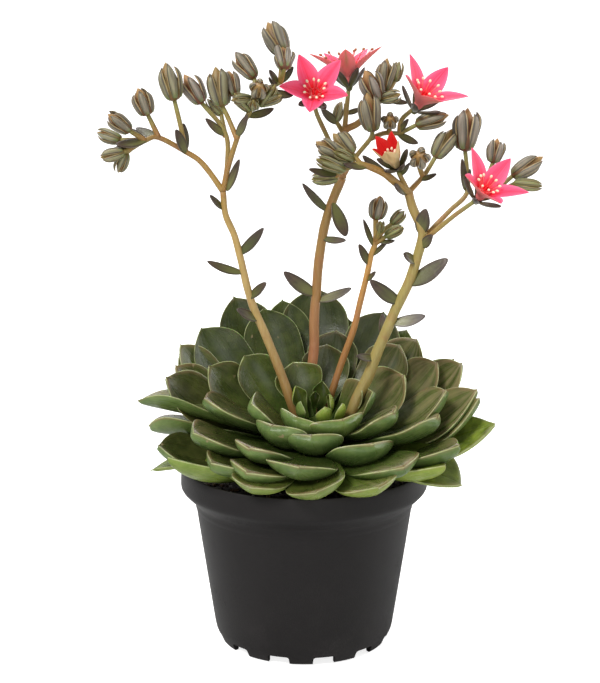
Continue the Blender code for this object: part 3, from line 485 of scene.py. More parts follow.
def loop_places(across):
    """Across and up-or-down (1 top, -1 under) round one cross-section, from one margin back to it."""
    half = np.array(across)
    top = np.concatenate([half, -half[-2::-1]])
    whole = np.concatenate([top, top[-2:0:-1]])
    side = np.concatenate([np.ones(len(top)), -np.ones(len(top) - 2)])
    side[0] = 0.0
    side[len(top) - 1] = 0.0
    return whole, side


def along_bend(root, bend, tip, along):
    """Places and headings on a bent line."""
    along = along[:, None]
    back = 1.0 - along
    middle = root * back ** 2 + bend * 2.0 * along * back + tip * along ** 2
    return middle, unit((bend - root) * back + (tip - bend) * along)


def turned_about(way, axis, angle):
    """A direction turned about an axis, right-handed."""
    return (way * math.cos(angle) + np.cross(axis, way) * math.sin(angle)
            + axis * np.dot(axis, way) * (1.0 - math.cos(angle)))


def leaf_half_width(along, pointed=0.0, blunt_end=0.988):
    """Half width of a spoon-shaped leaf over its greatest, with a small point on its blunt end."""
    widest = 0.70 - 0.06 * pointed
    rise = np.clip(along / widest, 0.0, 1.0)
    growing = (0.26 + 0.74 * rise ** 2 * (3.0 - 2.0 * rise)) * np.minimum(1.0, along * 12.0)
    fall = np.clip((along - widest) / (blunt_end - widest), 0.0, 1.0)
    closing = (1.0 - fall ** (3.5 - 1.7 * pointed)) ** (0.72 + 0.2 * pointed)
    half = np.where(along < widest, growing, closing)
    point = 0.05 * np.clip((1.0 - along) / (1.0 - blunt_end), 0.0, 2.5) ** 1.1
    return np.maximum(half, np.where(along > 0.9, point, 0.0))


def form_marks(along, across, upper, fourth, ends):
    """Four values for each point of a closed form, over its rings and with ends on its two poles."""
    rings = np.stack(np.broadcast_arrays(along[:, None], across, upper, fourth), axis=-1)
    return np.concatenate([[(0.0, *ends)], rings.reshape(-1, 4), [(1.0, *ends)]])


def leaf_form(leaf, trait):
    """One leaf's points, its places along and across, and each point's distance from the margin."""
    azimuth, reach, rise, width, roll, fold, pointed, sag = leaf
    outward = np.array([math.cos(math.radians(azimuth)), math.sin(math.radians(azimuth)), 0.0])
    upright = np.array([0.0, 0.0, 1.0])
    # Leaves at the back are flatter, and those at the front turn up their ends
    plump = 0.6 + 0.4 * soft_step(-outward[1], -0.25, 0.1)
    curl = 0.0
    if reach > CURLED_REACH or azimuth == CURLED_SHORTER_LEAF:
        curl = CURLED_END * soft_step(-outward[1], 0.5, 0.85)
    root = lean @ (outward * LEAF_ROOT_RADIUS - upright * (2.0 + 0.22 * reach)) + GROWING_POINT
    tip = lean @ (outward * reach + upright * rise) + GROWING_POINT
    face = turned_about(lean @ (upright - 0.5 * outward), unit(tip - root), math.radians(roll))
    # Short leaves are thinner, and none is thicker than about a quarter of its width
    thickness = min(LEAF_THICKNESS * min(1.0, 0.35 + reach / 45.0), 0.27 * width)
    length = np.linalg.norm(tip - root)
    normal = unit(np.cross(tip - root, np.cross(face, tip - root)))
    cross = unit(np.cross(face, tip - root))
    along = np.sin(np.linspace(0.0, 1.0, LEAF_RINGS + 2)[1:-1] * math.pi / 2.0)
    across, side = loop_places(LEAF_ACROSS)
    # Section: half widths along the leaf, then how high each place across stands over the middle
    half = 0.5 * width * leaf_half_width(along, pointed)
    fullness = leaf_half_width(along, pointed, 0.999) ** 0.5 * np.clip(half / 1.4, 0.0, 1.0)
    flat = np.abs(across)
    round_edge = EDGE_SHARE * plump ** 2 * thickness * (1.0 - flat ** 9.0) ** 0.5
    top = TOP_SHARE * thickness * (1.0 - flat ** 2.0) + round_edge
    keel = np.exp(-(flat / 0.25) ** 2) * 0.05 * soft_step(along, 0.55, 0.95)[:, None]
    belly = (1.0 - flat ** 1.8) ** (1.25 - 0.5 * plump) + keel
    under = KEEL_SHARE * plump * thickness * belly + round_edge
    body = np.where(side > 0.0, top, np.where(side < 0.0, -under, 0.0))
    lift = trait["cup"] * half[:, None] * across ** 2 + body * fullness[:, None]
    ripple = np.sin(along[:, None] * trait["pitch"] + across * 1.7 + trait["phase"])
    lift += trait["wave"] * flat ** 2 * ripple
    lift += fold * flat ** 1.4 * soft_step(along, 0.45, 0.9)[:, None] * half[:, None]
    while True:
        bend = root + (tip - root) * LEAF_BEND - normal * sag * length
        middle, way = along_bend(root, bend, tip, along)
        middle = middle + normal * (curl * np.clip(along / 0.4 - 1.5, 0.0, 1.0) ** 2)[:, None]
        drift = trait["drift"] * np.sin(along * math.pi)[:, None] * cross
        points = middle[:, None, :] + drift[:, None, :] + cross * (half[:, None] * across)[:, :, None]
        points = points + unit(np.cross(way, cross))[:, None, :] * lift[:, :, None]
        distance = np.hypot(points[:, :, 0], points[:, :, 1])
        floor = np.where(distance < MOUTH_RADIUS, CLEAR_OF_SOIL, CLEAR_OF_RIM)
        low = (distance > STEM_FIELD) & (distance < RIM_RADIUS) & (points[:, :, 2] < floor)
        if not low.any() or sag < LEAST_SAG:
            break
        sag -= SAG_STEP
    tip = tip + normal * curl
    # Distance from the margin, measured to fine steps along it
    margin = np.concatenate([points[:, 0], [tip], points[::-1, len(LEAF_ACROSS) * 2 - 2]])
    fine = np.linspace(0.0, len(margin) - 1.0, 8 * len(margin))
    steps = np.arange(len(margin))
    margin = np.column_stack([np.interp(fine, steps, margin[:, axis]) for axis in range(3)])
    gap = np.linalg.norm(points.reshape(-1, 1, 3) - margin, axis=2).min(axis=1).reshape(points.shape[:2])
    return np.concatenate([[root], points.reshape(-1, 3), [tip]]), along, across, side, gap


rosette_points = []
rosette_faces = []
rosette_marks = []
rosette_tones = []
start = 0
for age, leaves in enumerate([HEART_LEAVES, SMALL_LEAVES, MIDDLE_LEAVES, LARGE_LEAVES, OUTER_LEAVES,
                              LOWEST_LEAVES, HIDDEN_LEAVES]):
    grown = age > 2  # from the large leaves on
    for leaf in leaves:
        azimuth, reach = leaf[:2]
        facing = soft_step(-math.sin(math.radians(azimuth)), 0.1, 0.8)
        trait = {"wave": leaf_draw.uniform(0.2, 0.6) * min(1.0, reach / 40.0),
                 "pitch": leaf_draw.uniform(5.0, 11.0),
                 "phase": leaf_draw.uniform(0.0, math.tau),
                 "cup": 0.45 if age == 0 else leaf_draw.uniform(0.18, 0.27) - 0.08 * grown * facing,
                 "drift": leaf_draw.uniform(-0.8, 0.8) * min(1.0, reach / 50.0)}
        points, along, across, side, gap = leaf_form(leaf, trait)
        # Tones: how brown, how far behind, how fresh a green, and the leaf's own number
        rightward = soft_step(math.cos(math.radians(azimuth + 10.0)), 0.2, 0.95)
        leftward = soft_step(-math.cos(math.radians(azimuth)), 0.8, 1.0) * grown
        behind = soft_step(math.sin(math.radians(azimuth)), 0.1, 0.9)
        brown = 0.2 + 0.65 * rightward + 0.3 * facing + 0.35 * leftward + leaf_draw.uniform(-0.15, 0.15)
        brown = np.clip(brown, 0.05, 1.0) * (0.35 if age == 0 else 1.0)
        fresh = (RING_FRESHNESS[age] + leaf_draw.uniform(-0.1, 0.2)) * (0.5 if age > 1 else 1.0)
        if azimuth in OWN_TONES:
            least, share, fresh = OWN_TONES[azimuth]
            brown = least + share * brown
        tone = (brown, behind, np.clip(fresh, 0.0, 1.0), leaf_draw.uniform(0.0, 1.0))
        rosette_points.append(points)
        rosette_faces += closed_faces(*gap.shape, start)
        # On grown leaves that face forward, along is bent toward the foot, so that the painted shade at the
        # foot reaches further up them
        rosette_marks.append(form_marks(along ** (1.0 + 1.5 * facing * grown), 0.5 + 0.5 * across,
                                        0.5 + 0.5 * side, np.clip(gap / MARGIN_DEPTH, 0.0, 1.0),
                                        (0.5, 0.5, 0.0)))
        rosette_tones.append(np.broadcast_to(tone, (len(points), 4)))
        start += len(points)


def smooth_route(route, radii, steps):
    """Evenly drawn points, headings and radii on a soft curve through given points."""
    knots = np.array([route[0]] + list(route) + [route[-1]], dtype=float)
    knots[0] = 2.0 * knots[1] - knots[2]
    knots[-1] = 2.0 * knots[-2] - knots[-3]
    places = []
    widths = []
    for leg in range(len(route) - 1):
        before, first, second, after = knots[leg:leg + 4]
        for step in range(steps):
            t = step / steps
            places.append(0.5 * (2.0 * first + (second - before) * t
                                 + (2.0 * before - 5.0 * first + 4.0 * second - after) * t ** 2
                                 + (3.0 * first - before - 3.0 * second + after) * t ** 3))
            widths.append(radii[leg] + (radii[leg + 1] - radii[leg]) * t)
    places.append(knots[-2])
    widths.append(radii[-1])
    places = np.array(places)
    return places, unit(np.gradient(places, axis=0)), np.array(widths)


def round_rod(places, headings, radii, sides, ridges=None):
    """Points of a closed rod along places, with blunt ends and, where wanted, ridges along it."""
    reference = np.array([0.0, 0.0, 1.0]) if abs(headings[0][2]) < 0.9 else np.array([1.0, 0.0, 0.0])
    across = unit(np.cross(reference, headings[0]))
    ring = np.arange(sides) * math.tau / sides
    points = [places[0] - headings[0] * radii[0] * 0.4]
    for number, (place, heading, radius) in enumerate(zip(places, headings, radii)):
        across = unit(across - heading * np.dot(across, heading))
        upward = np.cross(heading, across)
        swell = radius if ridges is None else radius * (1.0 + ridges(number, ring))
        points += list(place + across * (swell * np.cos(ring))[:, None]
                       + upward * (swell * np.sin(ring))[:, None])
    points.append(places[-1] + headings[-1] * radii[-1] * 0.4)
    return np.array(points)


places, headings, widths = smooth_route(STEM_ROUTE, STEM_RADII, ROUTE_STEPS)
stem = round_rod(places, headings, widths, STEM_SIDES,
                 lambda number, ring: 0.05 * np.sin(5.0 * ring + number))
rosette_faces += closed_faces(len(places), STEM_SIDES, start)
rosette_points.append(stem)
rosette_marks.append(np.tile((0.0, 0.5, 0.5, 1.0), (len(stem), 1)))
rosette_tones.append(np.tile((0.6, 0.3, 0.3, 0.5), (len(stem), 1)))
rosette = new_piece("leaf_rosette", np.concatenate(rosette_points), rosette_faces, ["rosette"],
                    {"marks": np.concatenate(rosette_marks), "tones": np.concatenate(rosette_tones)})


def plant_skin():
    """Shader group: mottling, lengthwise streaks and fine pores of plant tissue."""
    inputs = {"Along": "Float", "Across": "Float", "Own": "Float", "Place": "Vector"}
    tree, source, out = new_group("plant_skin", inputs, ["Mottle", "Streak", "Height"])
    sockets = {0: source["Across"], 1: source["Along"], 2: times(tree, source["Own"], 37.0)}
    streak = grain(tree, put_node(tree, "ShaderNodeCombineXYZ", sockets).outputs[0], 1.0, 5.0, 0.6)
    mottle = grain(tree, source["Place"], 160.0, 5.0, 0.6)
    pores = grain(tree, source["Place"], 1500.0, 3.0)
    tree.links.new(mottle, out["Mottle"])
    tree.links.new(streak, out["Streak"])
    height = work_out(tree, "ADD", times(tree, mottle, 3.0), pores)
    tree.links.new(work_out(tree, "ADD", height, times(tree, streak, 2.0)), out["Height"])
    return tree


skin_group = plant_skin()


def let_light_in(shader, weight, scale, radius=(1.0, 0.2, 0.1)):
    """Light that spreads below the surface of thin plant tissue."""
    shader.inputs["Subsurface Weight"].default_value = weight
    shader.inputs["Subsurface Radius"].default_value = radius
    shader.inputs["Subsurface Scale"].default_value = scale


def marked(tree, name):
    """The four values that a piece's points carry under one name."""
    source = put_node(tree, "ShaderNodeAttribute", attribute_name=name)
    parts = put_node(tree, "ShaderNodeSeparateColor", {0: source.outputs["Color"]}).outputs
    return parts[0], parts[1], parts[2], source.outputs["Alpha"]


def plant_tissue(tree, across, along, own):
    """The plant_skin group, laid on a piece by its marks."""
    laid = {"Across": across, "Along": along, "Own": own, "Place": own_place(tree)}
    return put_node(tree, "ShaderNodeGroup", laid, node_tree=skin_group).outputs


# Dark and light shades of the leaf's tissues and of the painted shade on its tops, and the single
# shades laid over them, a painted highlight among them
OLIVE = ((0.040, 0.062, 0.013), (0.082, 0.115, 0.026))
FAR_OLIVE = ((0.023, 0.034, 0.008), (0.044, 0.058, 0.015))
# Painted shade on the tops at the left of the front, in place of the olive
SHADED_OLIVE = ((0.020, 0.025, 0.006), (0.050, 0.052, 0.015))
KHAKI = ((0.135, 0.113, 0.046), (0.28, 0.22, 0.115))
# Painted shade on the same tops, in place of the khaki
SHADED_KHAKI = ((0.050, 0.040, 0.014), (0.125, 0.090, 0.042))
YOUNG_GREEN = ((0.115, 0.165, 0.016), (0.19, 0.25, 0.032))
UNDER_GREEN = ((0.085, 0.142, 0.038), (0.142, 0.205, 0.060))
UNDER_LIME = ((0.20, 0.275, 0.035), (0.29, 0.365, 0.068))
PAINTED_HIGHLIGHT = (0.155, 0.175, 0.145)
HEART_SHADOW = (0.018, 0.034, 0.006)
UNDER_SHADOW = (0.020, 0.040, 0.007)
BROWN_BLUSH = (0.22, 0.14, 0.068)
MARGIN_LINE = (0.40, 0.43, 0.21)
DRY_POINT = (0.13, 0.07, 0.035)
DRY_SCAR = (0.33, 0.25, 0.14)

leaf_finish, tree, shader = new_material("waxy_leaf")
along, across, upper, margin = marked(tree, "marks")
brown, behind, fresh, own = marked(tree, "tones")
place = own_place(tree)
skin = plant_tissue(tree, times(tree, across, 9.0), times(tree, along, 1.6), own)
mottle = skin["Mottle"]
streak = skin["Streak"]
mottled = between(tree, mottle, 0.3, 0.7)
streaked = between(tree, streak, 0.3, 0.7)
# Upper face: dark olive, greyer behind, with painted shade in umber and dark khaki on the tops at the
# left of the front, where brown is weaker; khaki streaks to the tip, a fresher green in young leaves
# and a painted highlight on the back ones
shaded_top = times(tree, between(tree, brown, 0.85, 0.6), between(tree, behind, 0.5, 0.0))
olive = blend_colour(tree, mottled, *OLIVE)
olive = blend_colour(tree, behind, olive, blend_colour(tree, mottled, *FAR_OLIVE))
olive = blend_colour(tree, times(tree, shaded_top, 0.85), olive, blend_colour(tree, mottled, *SHADED_OLIVE))
shaded_khaki = blend_colour(tree, streaked, *SHADED_KHAKI)
khaki = blend_colour(tree, shaded_top, blend_colour(tree, streaked, *KHAKI), shaded_khaki)
streaks = work_out(tree, "ADD", between(tree, streak, 0.3, 0.75, 0.0, 0.55), times(tree, brown, 0.25))
tipward = between(tree, along, 0.25, 0.95)
khaki_share = times(tree, streaks, between(tree, brown, 0.15, 0.75), tipward)
above = blend_colour(tree, khaki_share, olive, khaki)
young_share = times(tree, fresh, between(tree, mottle, 0.2, 0.8, 0.5, 1.0))
above = blend_colour(tree, young_share, above, blend_colour(tree, mottled, *YOUNG_GREEN))
# Painted highlight: a pale streak beside the middle of each back leaf's top, over its outer half
off_highlight = work_out(tree, "ABSOLUTE", work_out(tree, "SUBTRACT", across, 0.40))
highlight_share = times(tree, between(tree, off_highlight, 0.17, 0.0), between(tree, along, 0.35, 0.7),
              between(tree, along, 0.98, 0.8), between(tree, behind, 0.2, 0.8, 0.0, 0.32))
above = blend_colour(tree, highlight_share, above, PAINTED_HIGHLIGHT)
above = blend_colour(tree, between(tree, along, 0.60, 0.15, 0.0, 0.75), above, HEART_SHADOW)
# Lower face: fresher green, lightest in the lowest leaves
below = blend_colour(tree, between(tree, fresh, 0.1, 0.5), blend_colour(tree, mottled, *UNDER_GREEN),
                     blend_colour(tree, mottled, *UNDER_LIME))
below = blend_colour(tree, between(tree, along, 0.58, 0.22, 0.0, 0.7), below, UNDER_SHADOW)
shade = blend_colour(tree, between(tree, upper, 0.35, 0.65), below, above)
# Margin: a patchy brown blush and then a thin pale line on the very edge
patches = between(tree, grain(tree, place, 70.0, 3.0), 0.38, 0.6, 0.3, 1.0)
wrapped = work_out(tree, "MAXIMUM", between(tree, upper, 0.2, 0.55), between(tree, margin, 0.26, 0.08))
blush = times(tree, between(tree, margin, 0.40, 0.06), between(tree, along, 0.4, 0.85), patches,
              between(tree, brown, 0.0, 0.6), wrapped, 0.65)
shade = blend_colour(tree, blush, shade, BROWN_BLUSH)
line = times(tree, between(tree, margin, 0.07, 0.02), between(tree, along, 0.25, 0.55),
             between(tree, mottle, 0.3, 0.6, 0.3, 0.9))
shade = blend_colour(tree, line, shade, MARGIN_LINE)
shade = blend_colour(tree, between(tree, along, 0.990, 0.998), shade, DRY_POINT)
scar = times(tree, between(tree, grain(tree, place, 210.0, 2.0), 0.70, 0.76),
             between(tree, along, 0.6, 0.9), 0.7)
shade = blend_colour(tree, scar, shade, DRY_SCAR)
dress(tree, shader, shade, between(tree, streak, 0.3, 0.7, 0.24, 0.36), skin["Height"], 0.22, 0.0005)
tree.links.new(between(tree, along, 0.25, 0.7, 0.04, 0.34), shader.inputs["Specular IOR Level"])
let_light_in(shader, 0.12, 0.0025, (0.35, 1.0, 0.2))
rosette.data.materials.append(leaf_finish)


# Flower stalks
# Four round, slightly ribbed stalks of ochre tissue, red-brown at their feet, with the arms and
# twigs that carry the buds. Each stalk is one piece, grown through the rosette's leaves.

# Places along each stalk, arm and twig, from its foot to its end
LEFT_STALK = [
    (-1, 3, 105), (-4, 2, 112), (-7, 2, 120), (-10, 2, 129), (-14, 1, 140), (-19, 0, 153), (-24, -1, 165),
    (-27, -2, 175), (-30, -3, 189), (-33, -4, 201), (-37, -5, 211), (-38, -6, 222),
]
LEFT_ARM = [
    (-38, -6, 222), (-44, -7, 231), (-49, -8, 237), (-55, -9, 241), (-67, -13, 248), (-73, -16, 247),
    (-80, -18, 243),
]
LEFT_TWIGS = [
    [(-38, -6, 222), (-36, -3, 235), (-37, 0, 249), (-48, 0, 263)],
    [(-38, -6, 222), (-35, -9, 235), (-30, -12, 250), (-25, -14, 260), (-20, -12, 268), (-11, -10, 273)],
    [(-55, -9, 241), (-57, -9, 252), (-60, -8, 265)], [(-67, -13, 248), (-72, -14, 259)],
    [(-73, -16, 247), (-80, -20, 252)], [(-75, -16, 247), (-85, -13, 247)],
    [(-79, -18, 244), (-83, -21, 242)], [(-79, -18, 244), (-82, -17, 241)],
    [(-37, 0, 247), (-39, 5, 257)], [(-31, -12, 247), (-35, -8, 256), (-38, -6, 262)],
    [(-25, -14, 260), (-32, -6, 267)], [(-22, -13, 265), (-23, -8, 275)],
    [(-22, -13, 264), (-25, -16, 266)], [(-20, -12, 267), (-21, -17, 269)],
    [(-22, -13, 263), (-19, -15, 264)], [(-11, -10, 273), (-10, -4, 286)], [(-11, -10, 273), (-9, -16, 280)],
]
MIDDLE_STALK = [
    (4, 8, 109), (4, 13, 121), (4, 16, 132), (5, 16, 143), (5, 15, 157), (6, 15, 170), (7, 14, 184),
    (9, 14, 198), (11, 13, 207), (14, 13, 216), (18, 12, 226),
]
MIDDLE_ARM = [(18, 12, 226), (18, 12, 237), (19, 12, 248), (26, 8, 253), (35, 7, 263), (38, 8, 265)]
MIDDLE_TWIGS = [
    [(18, 12, 226), (15, 9, 237), (11, 7, 246), (6, 5, 257), (5, 4, 262)],
    [(19, 12, 247), (20, 12, 258), (21, 13, 268)], [(19, 12, 247), (15, 16, 253)],
    [(35, 7, 263), (34, 3, 264)], [(35, 7, 263), (37, 10, 268)], [(38, 8, 265), (43, 14, 272)],
    [(36, 7, 263), (36, 4, 264)],
    [(18, 12, 226), (22, 10, 233), (26, 6, 239), (31, 1, 246), (32, -1, 250)],
    [(31, 1, 246), (38, 7, 248), (45, 8, 248), (53, 6, 252)], [(45, 8, 248), (46, 9, 254), (51, 8, 259)],
    [(40, 7, 248), (40, 4, 253)],
]
SMALL_STALK = [
    (9, 4, 107), (11, 6, 113), (13, 6, 120), (16, 6, 130), (20, 6, 142), (24, 5, 154), (27, 5, 167),
    (30, 4, 180), (32, 4, 190), (34, 3, 197), (34, 3, 208),
]
SMALL_TWIGS = [[(34, 3, 197), (38, 5, 202), (42, 6, 205)], [(34, 3, 196), (39, 0, 200)],
               [(34, 3, 197), (36, -2, 203)]]
RIGHT_STALK = [
    (20, -1, 106), (21, -2, 109), (23, -3, 114), (26, -2, 122), (31, -1, 132), (35, 0, 143), (40, 0, 155),
    (44, 0, 165), (50, -1, 178), (54, -1, 191), (56, -2, 200), (55, -2, 205), (51, -2, 214),
    (49, -2, 221),
]
RIGHT_ARM = [(49, -2, 221), (43, -6, 226), (37, -10, 231), (29, -14, 235), (24, -16, 236), (15, -19, 232)]
RIGHT_TWIGS = [
    [(56, -2, 199), (61, -1, 204), (69, 1, 212), (77, 3, 220), (77, 5, 231), (76, 6, 240)],
    [(56, -2, 198), (60, -6, 202), (70, -9, 211), (79, -11, 218)],
    [(26, -15, 236), (22, -14, 241)], [(21, -17, 235), (16, -17, 240)], [(19, -18, 234), (18, -20, 234)],
    [(15, -19, 232), (15, -17, 230)], [(49, -2, 221), (45, -5, 229), (44, -6, 231)],
    [(49, -2, 221), (56, 2, 228), (59, 4, 232), (62, 5, 237)], [(56, 2, 228), (54, -1, 233), (54, -2, 236)],
    [(79, -11, 218), (83, -4, 223), (87, 1, 230), (89, 2, 235)],
    [(79, -11, 218), (84, -5, 219), (91, -2, 223), (98, -2, 229)],
    [(84, -5, 219), (91, -6, 222), (98, -8, 226)],
]
# Colours up each stalk, from its foot to its top, and then on its twigs
LEFT_SHADES = [
    (0.19, 0.095, 0.022), (0.34, 0.21, 0.07), (0.47, 0.34, 0.13), (0.49, 0.34, 0.12), (0.40, 0.26, 0.07),
]
MIDDLE_SHADES = [
    (0.36, 0.15, 0.08), (0.40, 0.18, 0.085), (0.34, 0.19, 0.06), (0.29, 0.175, 0.048),
    (0.25, 0.16, 0.042),
]
SMALL_SHADES = [
    (0.13, 0.065, 0.015), (0.27, 0.13, 0.04), (0.41, 0.20, 0.06), (0.52, 0.28, 0.075), (0.42, 0.31, 0.09),
]
RIGHT_SHADES = [
    (0.18, 0.11, 0.03), (0.29, 0.23, 0.07), (0.37, 0.31, 0.10), (0.36, 0.29, 0.09), (0.36, 0.24, 0.07),
]
TWIG_SHADE = (0.36, 0.20, 0.055)
YOUNG_SHADE = (0.25, 0.25, 0.075)
FIBRE_SHADE = (0.62, 0.5, 0.26)
RED_CLOUD = (0.30, 0.11, 0.05)
ARM_TIP_RADIUS = 1.1
TWIG_RADII = (1.3, 1.0)
STALK_SIDES = 20
ARM_SIDES = 14
TWIG_SIDES = 12
RAMP_STEPS = 60


def colour_up(shades):
    """Even steps of colour through a short list of colours."""
    share = np.linspace(0.0, 1.0, RAMP_STEPS)
    stops = np.linspace(0.0, 1.0, len(shades))
    return np.column_stack([np.interp(share, stops, channel) for channel in zip(*shades)])


def stalk_piece(name, node, stalk, radii, arms, twigs, shades):
    """One stalk with its arms and twigs, coloured from its foot to its top."""
    points = []
    faces = []
    colours = []
    arm_ramp = colour_up([shades[-1], TWIG_SHADE, YOUNG_SHADE])
    twig_ramp = colour_up([TWIG_SHADE, YOUNG_SHADE])
    rods = [(stalk, radii, STALK_SIDES, colour_up(shades))]
    rods += [(arm, (radii[1], ARM_TIP_RADIUS), ARM_SIDES, arm_ramp) for arm in arms]
    rods += [(twig, TWIG_RADII, TWIG_SIDES, twig_ramp) for twig in twigs]
    for route, ends, sides, ramp in rods:
        spread = np.linspace(ends[0], ends[1], len(route))
        places, headings, widths = smooth_route(route, spread, ROUTE_STEPS)
        widths = widths * (1.0 + 0.02 * np.sin(np.arange(len(widths)) * 0.9))
        rod = round_rod(places, headings, widths, sides,
                        lambda number, ring: 0.025 * np.cos(5.0 * ring + 0.05 * number))
        faces += closed_faces(len(places), sides, sum(len(part) for part in points))
        points.append(rod)
        steps = np.linspace(0, RAMP_STEPS - 1, len(places)).astype(int)
        colours.append(np.concatenate([ramp[:1], np.repeat(ramp[steps], sides, axis=0), ramp[-1:]]))
    whole = np.concatenate(colours)
    shade = np.column_stack([whole, np.ones(len(whole))])
    return new_piece(name, np.concatenate(points), faces, [node], {"shade": shade})


stalks = [
    stalk_piece("left_stalk", "stalk_left", LEFT_STALK, (2.6, 1.4), [LEFT_ARM], LEFT_TWIGS, LEFT_SHADES),
    stalk_piece("middle_stalk", "stalk_middle", MIDDLE_STALK, (2.5, 2.2), [MIDDLE_ARM], MIDDLE_TWIGS,
                MIDDLE_SHADES),
    stalk_piece("small_stalk", "stalk_small", SMALL_STALK, (1.8, 1.3), [], SMALL_TWIGS, SMALL_SHADES),
    stalk_piece("right_stalk", "stalk_right", RIGHT_STALK, (3.0, 2.1), [RIGHT_ARM], RIGHT_TWIGS,
                RIGHT_SHADES),
]

stalk_finish, tree, shader = new_material("stalk_tissue")
place = own_place(tree)
tint = put_node(tree, "ShaderNodeAttribute", attribute_name="shade").outputs["Color"]
stretched = put_node(tree, "ShaderNodeMapping", {0: place, "Scale": (1.0, 1.0, 0.12)}).outputs[0]
fibre = grain(tree, stretched, 900.0, 4.0, 0.6)
cloud = grain(tree, place, 130.0, 4.0)
shade = blend_colour(tree, between(tree, fibre, 0.3, 0.7, 0.0, 0.35), tint, FIBRE_SHADE, "MULTIPLY")
shade = blend_colour(tree, between(tree, cloud, 0.45, 0.75, 0.0, 0.45), shade, RED_CLOUD)
dress(tree, shader, shade, between(tree, fibre, 0.3, 0.7, 0.38, 0.55), fibre, 0.3, 0.0003)
let_light_in(shader, 0.15, 0.002, (1.0, 0.5, 0.2))
for stalk in stalks:
    stalk.data.materials.append(stalk_finish)


# Bracts
# Small fleshy leaves on the stalks: boat-shaped, green at the foot and purple-brown at the tip.
# Each is pressed on its stalk by a narrow foot, with its hollow upper side turned up.

# Each bract: foot, tip and width
LEFT_BRACTS = [
    ((-55, -10, 241), (-59, -15, 252), 4.9), ((-55, -8, 242), (-56, -6, 254), 3.8),
    ((-68, -12, 249), (-78, -9, 252), 3.8), ((-74, -15, 248), (-80, -12, 252), 2.8),
    ((-73, -17, 247), (-86, -22, 246), 4.7), ((-79, -18, 244), (-87, -21, 244), 3.3),
    ((-37, 0, 248), (-46, -4, 256), 3.8), ((-26, -14, 258), (-14, -8, 261), 3.8),
    ((-16, -11, 269), (-5, -8, 267), 4.2), ((-12, -10, 273), (-16, -15, 279), 3.3),
    ((-13, -10, 272), (-16, -19, 276), 3.3), ((-11, -10, 273), (-5, -6, 280), 2.8),
    ((-31, -12, 249), (-26, -20, 259), 3.8), ((-36, -7, 223), (-30, -12, 238), 4.2),
    ((-38, -5, 214), (-44, -10, 221), 3.3), ((-31, -3, 192), (-19, -6, 205), 4.7),
    ((-29, -3, 183), (-46, -6, 189), 4.2), ((-26, -2, 171), (-18, -7, 179), 4.7),
    ((-22, -1, 160), (-32, -6, 166), 4.7),
]
MIDDLE_BRACTS = [
    ((16, 15, 252), (8, 14, 259), 3.8), ((20, 12, 257), (27, 15, 259), 2.8),
    ((12, 13, 210), (-1, 9, 224), 3.8), ((14, 11, 214), (20, 5, 199), 6.6),
    ((9, 13, 197), (20, 6, 197), 3.8), ((6, 15, 169), (-10, 10, 181), 6.1),
    ((6, 15, 166), (23, 10, 173), 4.7), ((44, 8, 248), (54, 8, 243), 3.8),
    ((45, 8, 249), (49, 5, 255), 2.8), ((37, 8, 265), (49, 9, 262), 3.3),
]
SMALL_BRACTS = [((33, 3, 195), (28, 1, 208), 2.8), ((31, 4, 186), (26, 1, 196), 4.2),
                ((30, 4, 178), (34, 0, 183), 2.6), ((32, 4, 190), (40, 1, 198), 2.6),
                ((36, 2, 197), (43, -1, 198), 2.4)]
RIGHT_BRACTS = [
    ((15, -19, 232), (2, -25, 235), 3.8), ((29, -14, 235), (18, -23, 237), 3.8),
    ((48, -3, 221), (42, -10, 226), 4.2), ((55, 1, 227), (62, -3, 230), 2.8),
    ((76, 3, 222), (74, -1, 237), 3.8), ((77, 4, 224), (78, 0, 232), 2.3),
    ((56, -3, 196), (60, -9, 202), 4.7), ((55, -2, 202), (57, -6, 214), 6.6),
    ((53, -1, 188), (47, -7, 193), 4.7), ((50, -1, 177), (68, -5, 190), 8.0),
    ((46, 0, 168), (31, -6, 180), 6.1), ((42, 0, 158), (58, -3, 162), 5.6),
    ((34, 0, 141), (25, -6, 143), 3.8), ((38, 1, 150), (38, 7, 161), 4.7),
    ((45, -5, 230), (49, -9, 236), 2.3), ((39, -9, 230), (27, -6, 239), 4.2),
    ((80, -10, 218), (89, -3, 226), 2.3),
]
BRACT_ACROSS = [1.0, 0.96, 0.8, 0.45, 0.0]
BLADE_RINGS = 15
BLADE_HOLLOW = 0.25
bract_draw = np.random.default_rng(5)


def boat_half_width(along):
    """Half width of a bract or sepal over its greatest: blunt at both ends, widest past the middle."""
    return np.sin(math.pi * along ** 1.05) ** 0.6


def small_blade(root, bend, tip, face, width, thickness, outline, places_across, rings, hollow, own):
    """A small fleshy blade with its marks: along, across, top or under, and its own random number."""
    even = np.linspace(0.0, 1.0, rings + 2)[1:-1]
    along = 0.5 * np.sin(even * math.pi / 2.0) + 0.5 * even
    across, side = loop_places(places_across)
    half = 0.5 * width * outline(along)
    middle, way = along_bend(root, bend, tip, along)
    cross = unit(np.cross(face, tip - root))
    flat = np.abs(across)
    crown = np.where(side > 0.0, 0.3, -0.7) * (1.0 - flat ** 2.2) ** 0.8 * np.abs(side)
    lift = hollow * half[:, None] * across ** 2 + crown * thickness * (outline(along) ** 0.6)[:, None]
    points = middle[:, None, :] + cross * (half[:, None] * across)[:, :, None]
    points = points + unit(np.cross(way, cross))[:, None, :] * lift[:, :, None]
    marks = form_marks(along, 0.5 + 0.5 * across, 0.5 + 0.5 * side, own, (0.5, 0.5, own))
    return np.concatenate([[root], points.reshape(-1, 3), [tip]]), marks, (rings, len(across))


def gather(shapes):
    """Points, faces and marks of several closed forms as one."""
    points = []
    faces = []
    marks = []
    start = 0
    for part, values, (rings, loop) in shapes:
        faces += closed_faces(rings, loop, start)
        points.append(part)
        marks.append(values)
        start += len(part)
    return np.concatenate(points), faces, np.concatenate(marks)


